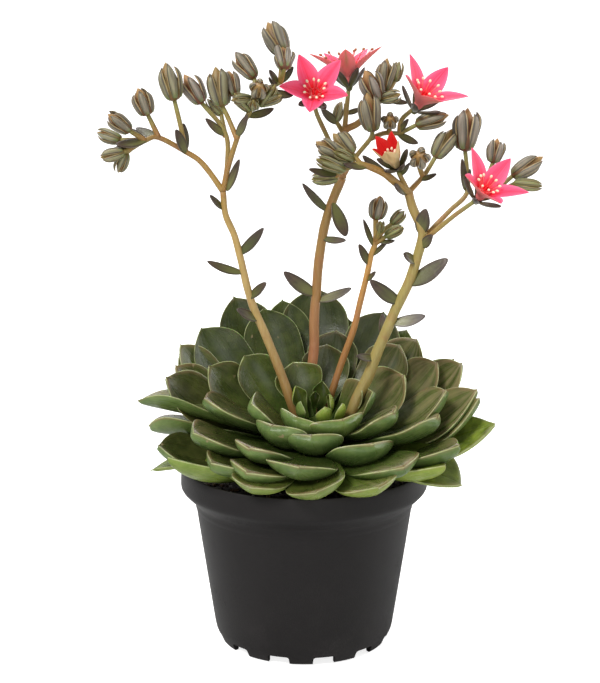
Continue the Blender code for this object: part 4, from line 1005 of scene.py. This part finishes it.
def bract_shape(foot, tip, width):
    """One bract, its foot sunk a little in the stalk and its middle sagging."""
    foot = np.array(foot, dtype=float)
    tip = np.array(tip, dtype=float)
    start = foot - unit(tip - foot) * 1.0
    length = np.linalg.norm(tip - start)
    bend = start + (tip - start) * 0.5 - np.array([0.0, 0.0, 0.12 * length])
    face = np.array([bract_draw.uniform(-0.5, 0.5), -0.8, 0.6])
    return small_blade(start, bend, tip, face, 1.1 * width, max(1.6, 0.48 * width), boat_half_width,
                       BRACT_ACROSS, BLADE_RINGS, BLADE_HOLLOW, bract_draw.uniform())


bracts = []
for name, wanted in (("left_bracts", LEFT_BRACTS), ("middle_bracts", MIDDLE_BRACTS),
                     ("small_bracts", SMALL_BRACTS), ("right_bracts", RIGHT_BRACTS)):
    points, faces, marks = gather([bract_shape(*one) for one in wanted])
    bracts.append(new_piece(name, points, faces, (), {"marks": marks}))


def from_middle(tree, across):
    """How far a place is from the middle line: 0 on it and 1 at either margin."""
    return work_out(tree, "ABSOLUTE", work_out(tree, "SUBTRACT", times(tree, across, 2.0), 1.0))


BRACT_GREEN = ((0.070, 0.080, 0.020), (0.150, 0.150, 0.048))
BRACT_PURPLE = ((0.034, 0.022, 0.018), (0.080, 0.048, 0.036))
BRACT_DARK_SIDE = (0.038, 0.024, 0.020)
BRACT_PALE_EDGE = (0.30, 0.22, 0.15)

bract_finish, tree, shader = new_material("bract_tissue")
along, across, upper, own = marked(tree, "marks")
skin = plant_tissue(tree, times(tree, across, 5.0), along, own)
green = blend_colour(tree, own, *BRACT_GREEN)
purple = blend_colour(tree, between(tree, skin["Mottle"], 0.3, 0.7), *BRACT_PURPLE)
uneven = between(tree, skin["Streak"], 0.2, 0.8, -0.3, 0.3)
shade = blend_colour(tree, work_out(tree, "ADD", between(tree, along, 0.2, 1.0), uneven, True), green, purple)
edge = from_middle(tree, across)
shade = blend_colour(tree, between(tree, edge, 0.45, 0.92, 0.0, 0.8), shade, BRACT_DARK_SIDE)
shade = blend_colour(tree, between(tree, edge, 0.93, 0.99, 0.0, 0.5), shade, BRACT_PALE_EDGE)
dress(tree, shader, shade, between(tree, skin["Streak"], 0.3, 0.7, 0.3, 0.48), skin["Height"],
      0.25, 0.0004)
for piece in bracts:
    piece.data.materials.append(bract_finish)


# Buds
# Closed buds: five thick, blunt sepals pressed to a pointed heart of folded petals. The sepals are
# grey-green with pale edges and dark tips, and the heart shows ochre to pink between them.

# Each bud: seat, tip and width
LEFT_BUDS = [
    ((-60, -8, 265), (-64, -6, 282), 11.3), ((-72, -14, 259), (-76, -16, 271), 9.9),
    ((-80, -20, 252), (-89, -25, 260), 8.0), ((-85, -13, 247), (-96, -9, 250), 7.0),
    ((-83, -21, 242), (-93, -24, 240), 6.6), ((-82, -17, 241), (-86, -16, 232), 6.6),
    ((-48, 0, 263), (-56, 1, 276), 10.3), ((-39, 5, 257), (-46, 10, 264), 5.2),
    ((-38, -6, 262), (-41, -5, 280), 11.3), ((-32, -6, 267), (-35, -4, 278), 8.0),
    ((-23, -8, 275), (-32, -4, 286), 8.5), ((-25, -16, 266), (-33, -22, 266), 6.0),
    ((-21, -17, 269), (-20, -29, 273), 9.4), ((-10, -4, 286), (-17, -1, 300), 11.7),
    ((-9, -16, 280), (-10, -8, 289), 8.5), ((-19, -15, 264), (-10, -20, 268), 6.1),
    ((-25, -15, 261), (-32, -21, 269), 6.0), ((-23, -15, 262), (-23, -24, 266), 5.8),
    ((-20, -15, 263), (-13, -21, 273), 6.0),
]
MIDDLE_BUDS = [
    ((15, 16, 253), (18, 19, 262), 5.6), ((34, 3, 264), (28, -1, 278), 11.3),
    ((37, 10, 268), (39, 11, 283), 8.9), ((43, 14, 272), (45, 16, 281), 5.6),
    ((36, 4, 264), (45, -1, 267), 6.6), ((32, -1, 250), (29, -4, 268), 11.0),
    ((53, 6, 252), (68, 3, 257), 8.5), ((40, 4, 253), (40, -5, 256), 8.4),
]
SMALL_BUDS = [((34, 3, 208), (36, 3, 219), 9.4), ((42, 6, 205), (48, 8, 211), 6.1),
              ((39, 0, 200), (47, -3, 205), 5.6), ((36, -2, 203), (36, -7, 208), 4.2)]
RIGHT_BUDS = [
    ((22, -14, 241), (13, -13, 250), 9.9), ((16, -17, 240), (5, -20, 247), 8.0),
    ((18, -20, 234), (5, -27, 240), 6.1), ((15, -17, 230), (3, -16, 229), 6.6),
    ((62, 5, 237), (70, 8, 250), 9.4), ((54, -2, 236), (53, -14, 240), 10.6),
    ((76, 6, 240), (77, 8, 260), 12.7), ((89, 2, 235), (91, 4, 246), 8.5),
    ((98, -2, 229), (112, -2, 238), 9.4), ((98, -8, 226), (111, -10, 225), 6.1),
    ((22, -15, 238), (13, -23, 243), 5.4), ((20, -17, 236), (10, -22, 235), 5.4),
]
PETALS = 5
# Buds narrower than this are young. A bud that comes this far forward and rises less is seen end-on
YOUNG_WIDTH = 7.2
END_ON_DEPTH = 8
END_ON_RISE = 5
HEART_RINGS = 18
HEART_SIDES = 20
SEPAL_RINGS = 14
SEPAL_ACROSS = [1.0, 0.9, 0.65, 0.33, 0.0]
# Bulge of sepals and heart, and half the turn that a sepal spreads over, at shares of their length
BUD_HEIGHTS = [0.0, 0.05, 0.13, 0.28, 0.46, 0.62, 0.78, 0.90, 1.0]
SEPAL_BULGE = [0.22, 0.54, 0.74, 0.91, 0.99, 0.98, 0.87, 0.69, 0.45]
HEART_BULGE = [0.20, 0.45, 0.62, 0.72, 0.72, 0.63, 0.46, 0.24, 0.02]
SEPAL_SPREAD = [20.0, 30.0, 32.5, 33.0, 32.0, 29.0, 24.5, 18.0, 4.0]
bud_draw = np.random.default_rng(17)


def bud_axes(foot, tip):
    """A bud's seat, sunk a little in its twig, its length, and its own axes with the third along it."""
    foot = np.array(foot, dtype=float)
    tip = np.array(tip, dtype=float)
    way = unit(tip - foot)
    seat = foot - way * 1.0
    turn = np.array(Vector((0.0, 0.0, 1.0)).rotation_difference(Vector(way)).to_matrix())
    return seat, np.linalg.norm(tip - seat), turn


def heart_shape(foot, tip, width, own):
    """The folded petals: a fluted cone that twists to a point."""
    seat, length, turn = bud_axes(foot, tip)
    along = np.linspace(0.0, 1.0, HEART_RINGS + 2)[1:-1]
    ring = np.arange(HEART_SIDES) * math.tau / HEART_SIDES
    twist = ring + 0.9 * along[:, None]
    flute = np.abs(np.cos(2.5 * twist))
    radius = 0.5 * width * np.interp(along, BUD_HEIGHTS, HEART_BULGE)[:, None] * (0.95 + 0.10 * flute)
    heights = length * np.broadcast_to(along[:, None], twist.shape)
    points = np.stack([radius * np.cos(ring), radius * np.sin(ring), heights], axis=2)
    points = np.concatenate([[(0.0, 0.0, 0.0)], points.reshape(-1, 3), [(0.0, 0.0, length)]])
    marks = form_marks(along, flute, 0.0, own, (1.0, 0.0, own))
    return points @ turn.T + seat, marks, (HEART_RINGS, HEART_SIDES)


def sepal_shapes(foot, tip, width, own, opening, cover):
    """Five blunt sepals that wrap the heart and stand a little apart from it at their tips."""
    seat, length, turn = bud_axes(foot, tip)
    across, side = loop_places(SEPAL_ACROSS)
    flat = np.abs(across)
    ridge = (1.0 - flat ** 2.0) * np.where(side > 0.0, 1.0, np.where(side < 0.0, -0.35, 0.0))
    share = np.sin(np.linspace(0.0, 1.0, SEPAL_RINGS + 2)[1:-1] * math.pi / 2.0)
    spread = np.radians(np.interp(share, BUD_HEIGHTS, SEPAL_SPREAD))[:, None]
    thick = 0.15 * width * (1.0 - share ** 10)[:, None]
    marks = form_marks(share, 0.5 + 0.5 * across, 0.5 + 0.5 * np.abs(side), own, (0.5, 1.0, own))
    shapes = []
    for number in range(PETALS):
        reach = cover + 0.06 * math.sin(7.0 * own + 2.3 * number)
        apart = opening * (0.5 + 0.5 * math.cos(5.0 * own + 1.9 * number))
        along = share * reach
        middle = math.tau * number / PETALS + own * 6.0
        bulge = 0.5 * width * np.interp(along, BUD_HEIGHTS, SEPAL_BULGE)[:, None]
        bulge = bulge + apart * width * soft_step(share, 0.3, 1.0)[:, None]
        radius = bulge - 0.13 * width + thick * ridge
        angle = middle + spread * across
        heights = length * np.broadcast_to(along[:, None], angle.shape)
        points = np.stack([radius * np.cos(angle), radius * np.sin(angle), heights], axis=2)
        end = bulge[-1, 0] - 0.12 * width
        end = (end * math.cos(middle), end * math.sin(middle), length * (reach + 0.006))
        points = np.concatenate([[(0.0, 0.0, 0.0)], points.reshape(-1, 3), [end]])
        shapes.append((points @ turn.T + seat, marks, (SEPAL_RINGS, len(across))))
    return shapes


buds = []
for name, wanted in (("left_buds", LEFT_BUDS), ("middle_buds", MIDDLE_BUDS),
                     ("small_buds", SMALL_BUDS), ("right_buds", RIGHT_BUDS)):
    shapes = []
    for foot, tip, width in wanted:
        young = width < YOUNG_WIDTH
        own = 0.5 * bud_draw.uniform() + 0.5 * young
        opening = bud_draw.uniform(0.04, 0.10 if young else 0.30)
        cover = bud_draw.uniform(0.92, 0.97) if young else bud_draw.uniform(0.82, 0.94)
        if foot[1] - tip[1] > END_ON_DEPTH and tip[2] - foot[2] < END_ON_RISE:
            # Buds that are seen end-on are shut to their tips
            opening = 0.0
            cover = 0.95
        shapes.append(heart_shape(foot, tip, width, own))
        shapes += sepal_shapes(foot, tip, width, own, opening, cover)
    points, faces, marks = gather(shapes)
    buds.append(new_piece(name, points, faces, (), {"marks": marks}))

# Shades of the sepals, from their backs to their edges, and of the heart between them
OLD_SEPAL = (0.30, 0.252, 0.210)
YOUNG_SEPAL = (0.26, 0.275, 0.085)
SEPAL_STREAK = (0.110, 0.094, 0.074)
SEPAL_FOOT = (0.18, 0.23, 0.060)
SEPAL_TIP = (0.045, 0.028, 0.024)
# Painted shade on the rounded flanks of the sepals
FLANK_SHADOW = (0.085, 0.088, 0.045)
SEPAL_GROOVE = (0.050, 0.036, 0.030)
GOLDEN_EDGE = (0.42, 0.31, 0.14)
# Painted shade where the sepals meet, on their very edges
GAP_SHADOW = (0.045, 0.030, 0.022)
# Dark end: the heart's red-brown with painted shade for the gaps between the sepals; light end: ochre
HEART_SHADOW_TO_OCHRE = ((0.13, 0.045, 0.018), (0.40, 0.22, 0.08))
YOUNG_HEART = (0.17, 0.18, 0.045)
HEART_FOLD = (0.30, 0.07, 0.03)

bud_finish, tree, shader = new_material("bud_tissue")
along, across, sepal, own = marked(tree, "marks")
skin = plant_tissue(tree, times(tree, across, 5.0), along, own)
streak = skin["Streak"]
# Sepals: streaked backs, green feet, dark tips, painted shade on their rounded flanks, and at each side a
# groove, a golden edge and, past it, painted shade where the sepals meet
leafy = blend_colour(tree, own, OLD_SEPAL, YOUNG_SEPAL)
leafy = blend_colour(tree, between(tree, streak, 0.40, 0.66, 0.0, 0.7), leafy, SEPAL_STREAK)
leafy = blend_colour(tree, between(tree, along, 0.35, 0.0), leafy, SEPAL_FOOT)
leafy = blend_colour(tree, between(tree, along, 0.88, 1.0), leafy, SEPAL_TIP)
edge = from_middle(tree, across)
leafy = blend_colour(tree, between(tree, edge, 0.15, 0.60, 0.0, 0.30), leafy, FLANK_SHADOW)
groove = times(tree, between(tree, edge, 0.50, 0.64), between(tree, edge, 0.82, 0.70, 0.0, 0.8))
leafy = blend_colour(tree, groove, leafy, SEPAL_GROOVE)
leafy = blend_colour(tree, between(tree, edge, 0.76, 0.88, 0.0, 0.9), leafy, GOLDEN_EDGE)
leafy = blend_colour(tree, between(tree, edge, 0.94, 1.0), leafy, GAP_SHADOW)
# Heart: red-brown low down, darkened there with painted shade for the gaps between the sepals, ochre
# to the tip, greener in young buds and redder in the folds
ochre = blend_colour(tree, between(tree, along, 0.55, 0.95), *HEART_SHADOW_TO_OCHRE)
ochre = blend_colour(tree, times(tree, own, 0.9), ochre, YOUNG_HEART)
ochre = blend_colour(tree, between(tree, across, 0.45, 0.1, 0.0, 0.7), ochre, HEART_FOLD)
shade = blend_colour(tree, between(tree, sepal, 0.2, 0.4), ochre, leafy)
dress(tree, shader, shade, between(tree, streak, 0.3, 0.7, 0.36, 0.52), skin["Height"], 0.25, 0.0004)
let_light_in(shader, 0.1, 0.002)
for piece in buds:
    piece.data.materials.append(bud_finish)


# Flowers
# Five flowers: five lance-shaped petals joined in a short tube, ten stamens with cream anthers that
# dry brown, five carpels and, below them on the stalk, five spreading green sepals on a swollen seat.

# Each flower: its seat, the way that it looks, the lengths of tube, petals and sepals, how far petals
# and sepals lean out in degrees, petal width over length, size of its stamens, and turn in degrees
FLOWERS = {
    "flower_a": {"seat": (5, 2, 265), "looks": (0.0, -0.79, 0.61), "tube": 5.0, "petal": 19.0,
                 "opening": 63, "sepal": 13.0, "sepal_opening": 52,
                 "width": 0.54, "stamen": 1.00, "spin": 45},
    "flower_b": {"seat": (21, 13, 271), "looks": (-0.10, 0.08, 0.99), "tube": 7.0, "petal": 20.0,
                 "opening": 65, "sepal": 12.0, "sepal_opening": 42,
                 "width": 0.42, "stamen": 2.30, "spin": 37},
    "flower_c": {"seat": (53, 8, 260), "looks": (0.44, -0.42, 0.79), "tube": 8.0, "petal": 20.5,
                 "opening": 62, "sepal": 14.0, "sepal_opening": 50,
                 "width": 0.48, "stamen": 1.35, "spin": 23},
    "flower_d": {"seat": (43, -6, 234), "looks": (-0.36, -0.58, 0.73), "tube": 6.0, "petal": 13.0,
                 "opening": 31, "sepal": 11.0, "sepal_opening": 42,
                 "width": 0.60, "stamen": 0.90, "spin": 10},
    "flower_e": {"seat": (81, -13, 220), "looks": (0.41, -0.55, 0.73), "tube": 7.0, "petal": 20.0,
                 "opening": 63, "sepal": 14.0, "sepal_opening": 50,
                 "width": 0.48, "stamen": 1.10, "spin": 30},
}
TUBE_FOOT_RADIUS = 1.7
TUBE_RADIUS = 3.0
PETAL_THICKNESS = 1.1
PETAL_ACROSS = [1.0, 0.97, 0.85, 0.62, 0.34, 0.12, 0.0]
PETAL_RINGS = 24
PETAL_HOLLOW = 0.24
PETAL_STEP = 72.0  # degrees from petal to petal
BETWEEN_PETALS = 36.0
SEPAL_WIDTH = 4.4
SEPAL_THICKNESS = 1.6
STAMENS = 10
STAMEN_STEP = 36.0
FIRST_STAMEN = 18.0
STAMEN_RING = 6.0
STAMEN_STEPS = 7
THREAD_RADII = (0.34, 0.2)
THREAD_SIDES = 8
ANTHER_SIDES = 10
ANTHER_RADIUS = 0.62
ANTHER_HALF_LENGTH = 0.85
flower_draw = np.random.default_rng(41)


def petal_half_width(along):
    """Half width of a petal over its greatest: narrow in the tube, then widest, with a long point."""
    widest = 0.58
    opening = 0.40 + 0.60 * np.sin(math.pi * np.clip(along, 0.0, widest) / (2.0 * widest)) ** 1.7
    opening = opening * np.minimum(1.0, along * 12.0)
    closing = (1.0 - np.clip((along - widest) / (1.0 - widest), 0.0, 1.0) ** 1.9) ** 0.9
    return np.where(along < widest, opening, closing)


def flower_axes(flower):
    """A flower's seat, its own axes, the way that it looks and the top of its tube."""
    looks = Vector(flower["looks"]).normalized()
    turn = np.array(looks.to_track_quat("Z", "Y").to_matrix())
    seat = np.array(flower["seat"], dtype=float)
    looks = np.array(looks)
    return seat, turn, looks, seat + looks * flower["tube"]


def outward_at(turn, angle):
    """Direction straight out from a flower's middle, at an angle round it."""
    return turn @ np.array([math.cos(angle), math.sin(angle), 0.0])


def petal_shapes(flower, own):
    """Five petals that rise in the tube and then spread to the flower's opening."""
    seat, turn, looks, top = flower_axes(flower)
    spread = math.radians(flower["opening"])
    shapes = []
    for number in range(PETALS):
        outward = outward_at(turn, math.radians(flower["spin"] + PETAL_STEP * number))
        way = outward * math.sin(spread) + looks * math.cos(spread)
        shapes.append(small_blade(seat + looks + outward, top + outward * TUBE_RADIUS,
                                  top + way * flower["petal"], looks - outward * 0.2,
                                  flower["width"] * flower["petal"], PETAL_THICKNESS, petal_half_width,
                                  PETAL_ACROSS, PETAL_RINGS, PETAL_HOLLOW, own + 0.02 * number))
    return shapes


def rod_shape(places, radii, sides, own):
    """A thin rod as a closed form with marks."""
    places = np.array(places, dtype=float)
    headings = unit(np.gradient(places, axis=0))
    points = round_rod(places, headings, np.array(radii, dtype=float), sides)
    marks = form_marks(np.linspace(0.0, 1.0, len(places)), np.full(sides, 0.5), 1.0, own, (0.5, 1.0, own))
    return points, marks, (len(places), sides)


def stamen_shapes(flower, own):
    """Ten filaments, and the anther on each."""
    seat, turn, looks, top = flower_axes(flower)
    spread = math.radians(flower["opening"])
    threads = []
    anthers = []
    for number in range(STAMENS):
        around = math.radians(flower["spin"] + FIRST_STAMEN + STAMEN_STEP * number)
        outward = outward_at(turn, around + flower_draw.uniform(-0.12, 0.12))
        foot = seat + looks * 0.55 * flower["tube"] + outward * 1.4
        reach = STAMEN_RING * math.sin(spread) * flower_draw.uniform(0.75, 1.05)
        head = top + (looks * flower_draw.uniform(2.4, 3.6) + outward * reach) * flower["stamen"]
        bend = foot * 0.45 + head * 0.55 + looks * 0.9
        places, _ = along_bend(foot, bend, head, np.linspace(0.0, 1.0, STAMEN_STEPS))
        threads.append(rod_shape(places, np.linspace(*THREAD_RADII, STAMEN_STEPS), THREAD_SIDES, own))
        swing = unit(outward * 0.8 + looks * flower_draw.uniform(0.2, 0.9))
        step = np.linspace(-1.0, 1.0, STAMEN_STEPS)
        anthers.append(rod_shape(head + swing * step[:, None] * ANTHER_HALF_LENGTH,
                                 ANTHER_RADIUS * np.sqrt(1.03 - step ** 2), ANTHER_SIDES, own))
    return threads, anthers


def carpel_shapes(flower, own):
    """Five slender carpels that lean together."""
    seat, turn, looks, top = flower_axes(flower)
    shapes = []
    for number in range(PETALS):
        outward = outward_at(turn, math.radians(flower["spin"] + BETWEEN_PETALS + PETAL_STEP * number))
        base = seat + looks * 1.5 + outward * 0.8
        head = top + looks * 2.2 + outward * 0.75
        share = np.linspace(0.0, 1.0, 9)
        places = base + (head - base) * share[:, None]
        places = places + outward * (0.35 * np.sin(share * math.pi))[:, None]
        radii = np.interp(share, [0, 0.35, 0.75, 1], [0.7, 0.95, 0.5, 0.2])
        shapes.append(rod_shape(places, radii, 10, own))
    return shapes


def tube_shape(flower, own):
    """The petals' joined foot: a fluted cup."""
    rings = 10
    sides = 30
    seat, turn, looks, top = flower_axes(flower)
    share = np.linspace(0.0, 1.0, rings)
    places = seat + looks * (0.8 * flower["tube"] * share)[:, None]
    radii = TUBE_FOOT_RADIUS + (TUBE_RADIUS - TUBE_FOOT_RADIUS) * share ** 0.8
    points = round_rod(places, np.tile(looks, (rings, 1)), radii, sides,
                       lambda number, ring: 0.04 * np.cos(5.0 * ring))
    marks = np.tile((0.05, 0.5, 0.0, own), (len(points), 1))
    return points, marks, (rings, sides)


def green_shapes(flower, own):
    """The swollen seat and five spreading sepals under a flower."""
    seat, turn, looks, top = flower_axes(flower)
    spread = math.radians(flower["sepal_opening"])
    share = np.linspace(0.0, 1.0, 8)
    places = seat + looks * (-3.6 + 3.2 * share)[:, None]
    shapes = [rod_shape(places, 1.15 + 1.1 * share ** 0.7, 14, own)]
    for number in range(PETALS):
        outward = outward_at(turn, math.radians(flower["spin"] + BETWEEN_PETALS + PETAL_STEP * number))
        way = outward * math.sin(spread) + looks * math.cos(spread)
        root = seat - looks * 2.2 + outward * 0.6
        tip = root + way * flower["sepal"]
        bend = root + (tip - root) * 0.5 + (outward - looks) * 0.6
        shapes.append(small_blade(root, bend, tip, looks - outward * 0.2, SEPAL_WIDTH, SEPAL_THICKNESS,
                                  boat_half_width, BRACT_ACROSS, BLADE_RINGS, BLADE_HOLLOW, own))
    return shapes


petal_pieces = []
thread_pieces = []
anther_pieces = []
carpel_pieces = []
green_pieces = []
for name, flower in FLOWERS.items():
    letter = name[-1]
    slot = "petal_red" if name == "flower_d" else "petal_pink"
    own = flower_draw.uniform(0.1, 0.8)
    points, faces, marks = gather([tube_shape(flower, own)] + petal_shapes(flower, own))
    petal_pieces.append(new_piece("petals_" + letter, points, faces, [name], {"marks": marks}))
    threads, anthers = stamen_shapes(flower, own)
    carpels = carpel_shapes(flower, own)
    sepals = green_shapes(flower, own)
    for title, shapes, home, its_slot in (("filaments_", threads, thread_pieces, slot),
                                          ("anthers_", anthers, anther_pieces, slot),
                                          ("carpels_", carpels, carpel_pieces, slot),
                                          ("sepals_", sepals, green_pieces, "stalk_ochre")):
        points, faces, marks = gather(shapes)
        home.append(new_piece(title + letter, points, faces, (), {"marks": marks}))

PETAL_MIDRIB = (0.42, 0.25, 0.10)


def petal_finish(name, centre, middle, rim, outside):
    """Silky petal tissue: richest in the centre, paler at the rim, with fine lengthwise veins."""
    material, tree, shader = new_material(name)
    along, across, upper, own = marked(tree, "marks")
    skin = plant_tissue(tree, times(tree, across, 14.0), along, own)
    edge = from_middle(tree, across)
    shade = blend_colour(tree, between(tree, along, 0.30, 0.62), centre, middle)
    shade = blend_colour(tree, between(tree, edge, 0.35, 1.0, 0.0, 0.6), shade, rim)
    shade = blend_colour(tree, between(tree, skin["Streak"], 0.4, 0.7, 0.0, 0.3), shade, rim)
    shade = blend_colour(tree, between(tree, edge, 0.12, 0.0, 0.0, 0.4), shade, centre)
    midrib = times(tree, between(tree, edge, 0.4, 0.0, 0.0, 0.6), between(tree, along, 0.4, 0.8))
    outer = blend_colour(tree, midrib, outside, PETAL_MIDRIB)
    shade = blend_colour(tree, between(tree, upper, 0.6, 0.3), shade, outer)
    dress(tree, shader, shade, between(tree, skin["Streak"], 0.3, 0.7, 0.42, 0.6), skin["Height"],
          0.3, 0.0004)
    shader.inputs["Specular IOR Level"].default_value = 0.3
    let_light_in(shader, 0.15, 0.0012, (1.0, 0.3, 0.25))
    return material


coral = petal_finish("coral_petal", (0.90, 0.004, 0.010), (0.90, 0.058, 0.150), (0.93, 0.20, 0.38),
                     (0.87, 0.20, 0.20))
crimson = petal_finish("crimson_petal", (0.52, 0.006, 0.008), (0.72, 0.014, 0.014), (0.72, 0.05, 0.04),
                       (0.70, 0.50, 0.25))
for piece in petal_pieces:
    piece.data.materials.append(crimson if piece.name.endswith("d") else coral)


def plain_tissue(name, foot, head, roughness):
    """Small smooth tissue that changes colour from its foot to its head."""
    material, tree, shader = new_material(name)
    along = marked(tree, "marks")[0]
    cloud = grain(tree, own_place(tree), 900.0, 3.0)
    darker = tuple(0.6 * part for part in foot)
    shade = blend_colour(tree, along, foot, head)
    shade = blend_colour(tree, between(tree, cloud, 0.35, 0.75, 0.0, 0.3), shade, darker)
    dress(tree, shader, shade, between(tree, cloud, 0.3, 0.7, roughness - 0.08, roughness + 0.08), cloud,
          0.3, 0.0002)
    return material


thread_finish = plain_tissue("filament", (0.86, 0.02, 0.03), (0.92, 0.26, 0.25), 0.5)
anther_finish = plain_tissue("anther", (0.90, 0.78, 0.52), (0.95, 0.88, 0.66), 0.7)
dry_anther_finish = plain_tissue("dry_anther", (0.34, 0.10, 0.05), (0.50, 0.22, 0.10), 0.7)
carpel_finish = plain_tissue("carpel", (0.84, 0.008, 0.015), (0.92, 0.03, 0.04), 0.45)
for piece in anther_pieces:
    piece.data.materials.append(dry_anther_finish if piece.name.endswith("b") else anther_finish)
for pieces, finish in ((thread_pieces, thread_finish), (carpel_pieces, carpel_finish),
                       (green_pieces, bract_finish)):
    for piece in pieces:
        piece.data.materials.append(finish)


# Camera, floor and light
# The photograph's viewpoint, a plain white floor that runs out of view, and soft studio lights with
# the key from the upper left. Lengths are in metres, and places are about the foot of the pot's axis.
PHOTO_WIDTH = 600.0
FOCAL_PIXELS = 1706.0
SENSOR_WIDTH = 36.0
CAMERA_PLACE = (-0.002, -0.8, 0.3316)
CAMERA_DIP = 0.2248  # radians below level
FLOOR_HALF = 25.0
FLOOR_LEVEL = -0.0005
PLANT_MIDDLE = 0.14
FLOOR_GLOW = 0.8
WALL_LIGHT = 0.42
KEY_PLACE = (-0.75, -0.85, 1.35)

camera_data = bpy.data.cameras.new("camera")
camera_data.sensor_fit = "HORIZONTAL"
camera_data.sensor_width = SENSOR_WIDTH
camera_data.lens = SENSOR_WIDTH * FOCAL_PIXELS / PHOTO_WIDTH
camera_data.clip_start = 0.01
camera = bpy.data.objects.new("camera", camera_data)
camera.location = POT_AXIS + np.array(CAMERA_PLACE)
camera.rotation_euler = (math.pi / 2.0 - CAMERA_DIP, 0.0, 0.0)
bpy.context.scene.collection.objects.link(camera)
bpy.context.scene.camera = camera

floor_mesh = bpy.data.meshes.new("floor")
floor_mesh.from_pydata([(FLOOR_HALF * x, FLOOR_HALF * y, FLOOR_LEVEL)
                        for x, y in ((-1, -1), (1, -1), (1, 1), (-1, 1))], [], [(0, 1, 2, 3)])
floor = bpy.data.objects.new("floor", floor_mesh)
bpy.context.scene.collection.objects.link(floor)
floor_finish, tree, shader = new_material("studio_floor")
shader.inputs["Base Color"].default_value = (0.68, 0.68, 0.68, 1.0)
shader.inputs["Roughness"].default_value = 0.95
shader.inputs["Specular IOR Level"].default_value = 0.1
shader.inputs["Emission Color"].default_value = (1.0, 1.0, 1.0, 1.0)
seen = put_node(tree, "ShaderNodeLightPath").outputs["Is Camera Ray"]
tree.links.new(between(tree, seen, 0.0, 1.0, 0.0, FLOOR_GLOW), shader.inputs["Emission Strength"])
floor_mesh.materials.append(floor_finish)


def aim(lamp, place):
    """Put a light at a place about the plant, turned to the middle of the plant."""
    spot = Vector(POT_AXIS) + Vector((0.0, 0.0, PLANT_MIDDLE))
    lamp.location = Vector(POT_AXIS) + Vector(place)
    lamp.rotation_euler = (spot - lamp.location).to_track_quat("-Z", "Y").to_euler()
    bpy.context.scene.collection.objects.link(lamp)


def soft_light(name, place, size, power, shade=(1.0, 1.0, 1.0)):
    """A square studio light that looks at the middle of the plant."""
    data = bpy.data.lights.new(name, "AREA")
    data.shape = "SQUARE"
    data.size = size
    data.energy = power
    data.color = shade
    aim(bpy.data.objects.new(name, data), place)


key_data = bpy.data.lights.new("key", "SUN")
key_data.energy = 2.6
key_data.angle = math.radians(20.0)
key_data.color = (1.0, 0.985, 0.96)
aim(bpy.data.objects.new("key", key_data), KEY_PLACE)
soft_light("rim", (0.95, 0.25, 0.55), 0.6, 5.0)
soft_light("back", (-0.25, 0.85, 1.0), 0.8, 8.0)
soft_light("low_front", (0.15, -1.2, 0.12), 0.8, 4.5, (1.0, 0.97, 0.90))

world = bpy.data.worlds.new("studio")
world.use_nodes = True
sky = world.node_tree
seen = put_node(sky, "ShaderNodeLightPath").outputs["Is Camera Ray"]
sky.links.new(between(sky, seen, 0.0, 1.0, WALL_LIGHT, 1.0), sky.nodes["Background"].inputs["Strength"])
sky.nodes["Background"].inputs["Color"].default_value = (1.0, 1.0, 1.0, 1.0)
bpy.context.scene.world = world
bpy.context.scene.view_settings.view_transform = "Standard"
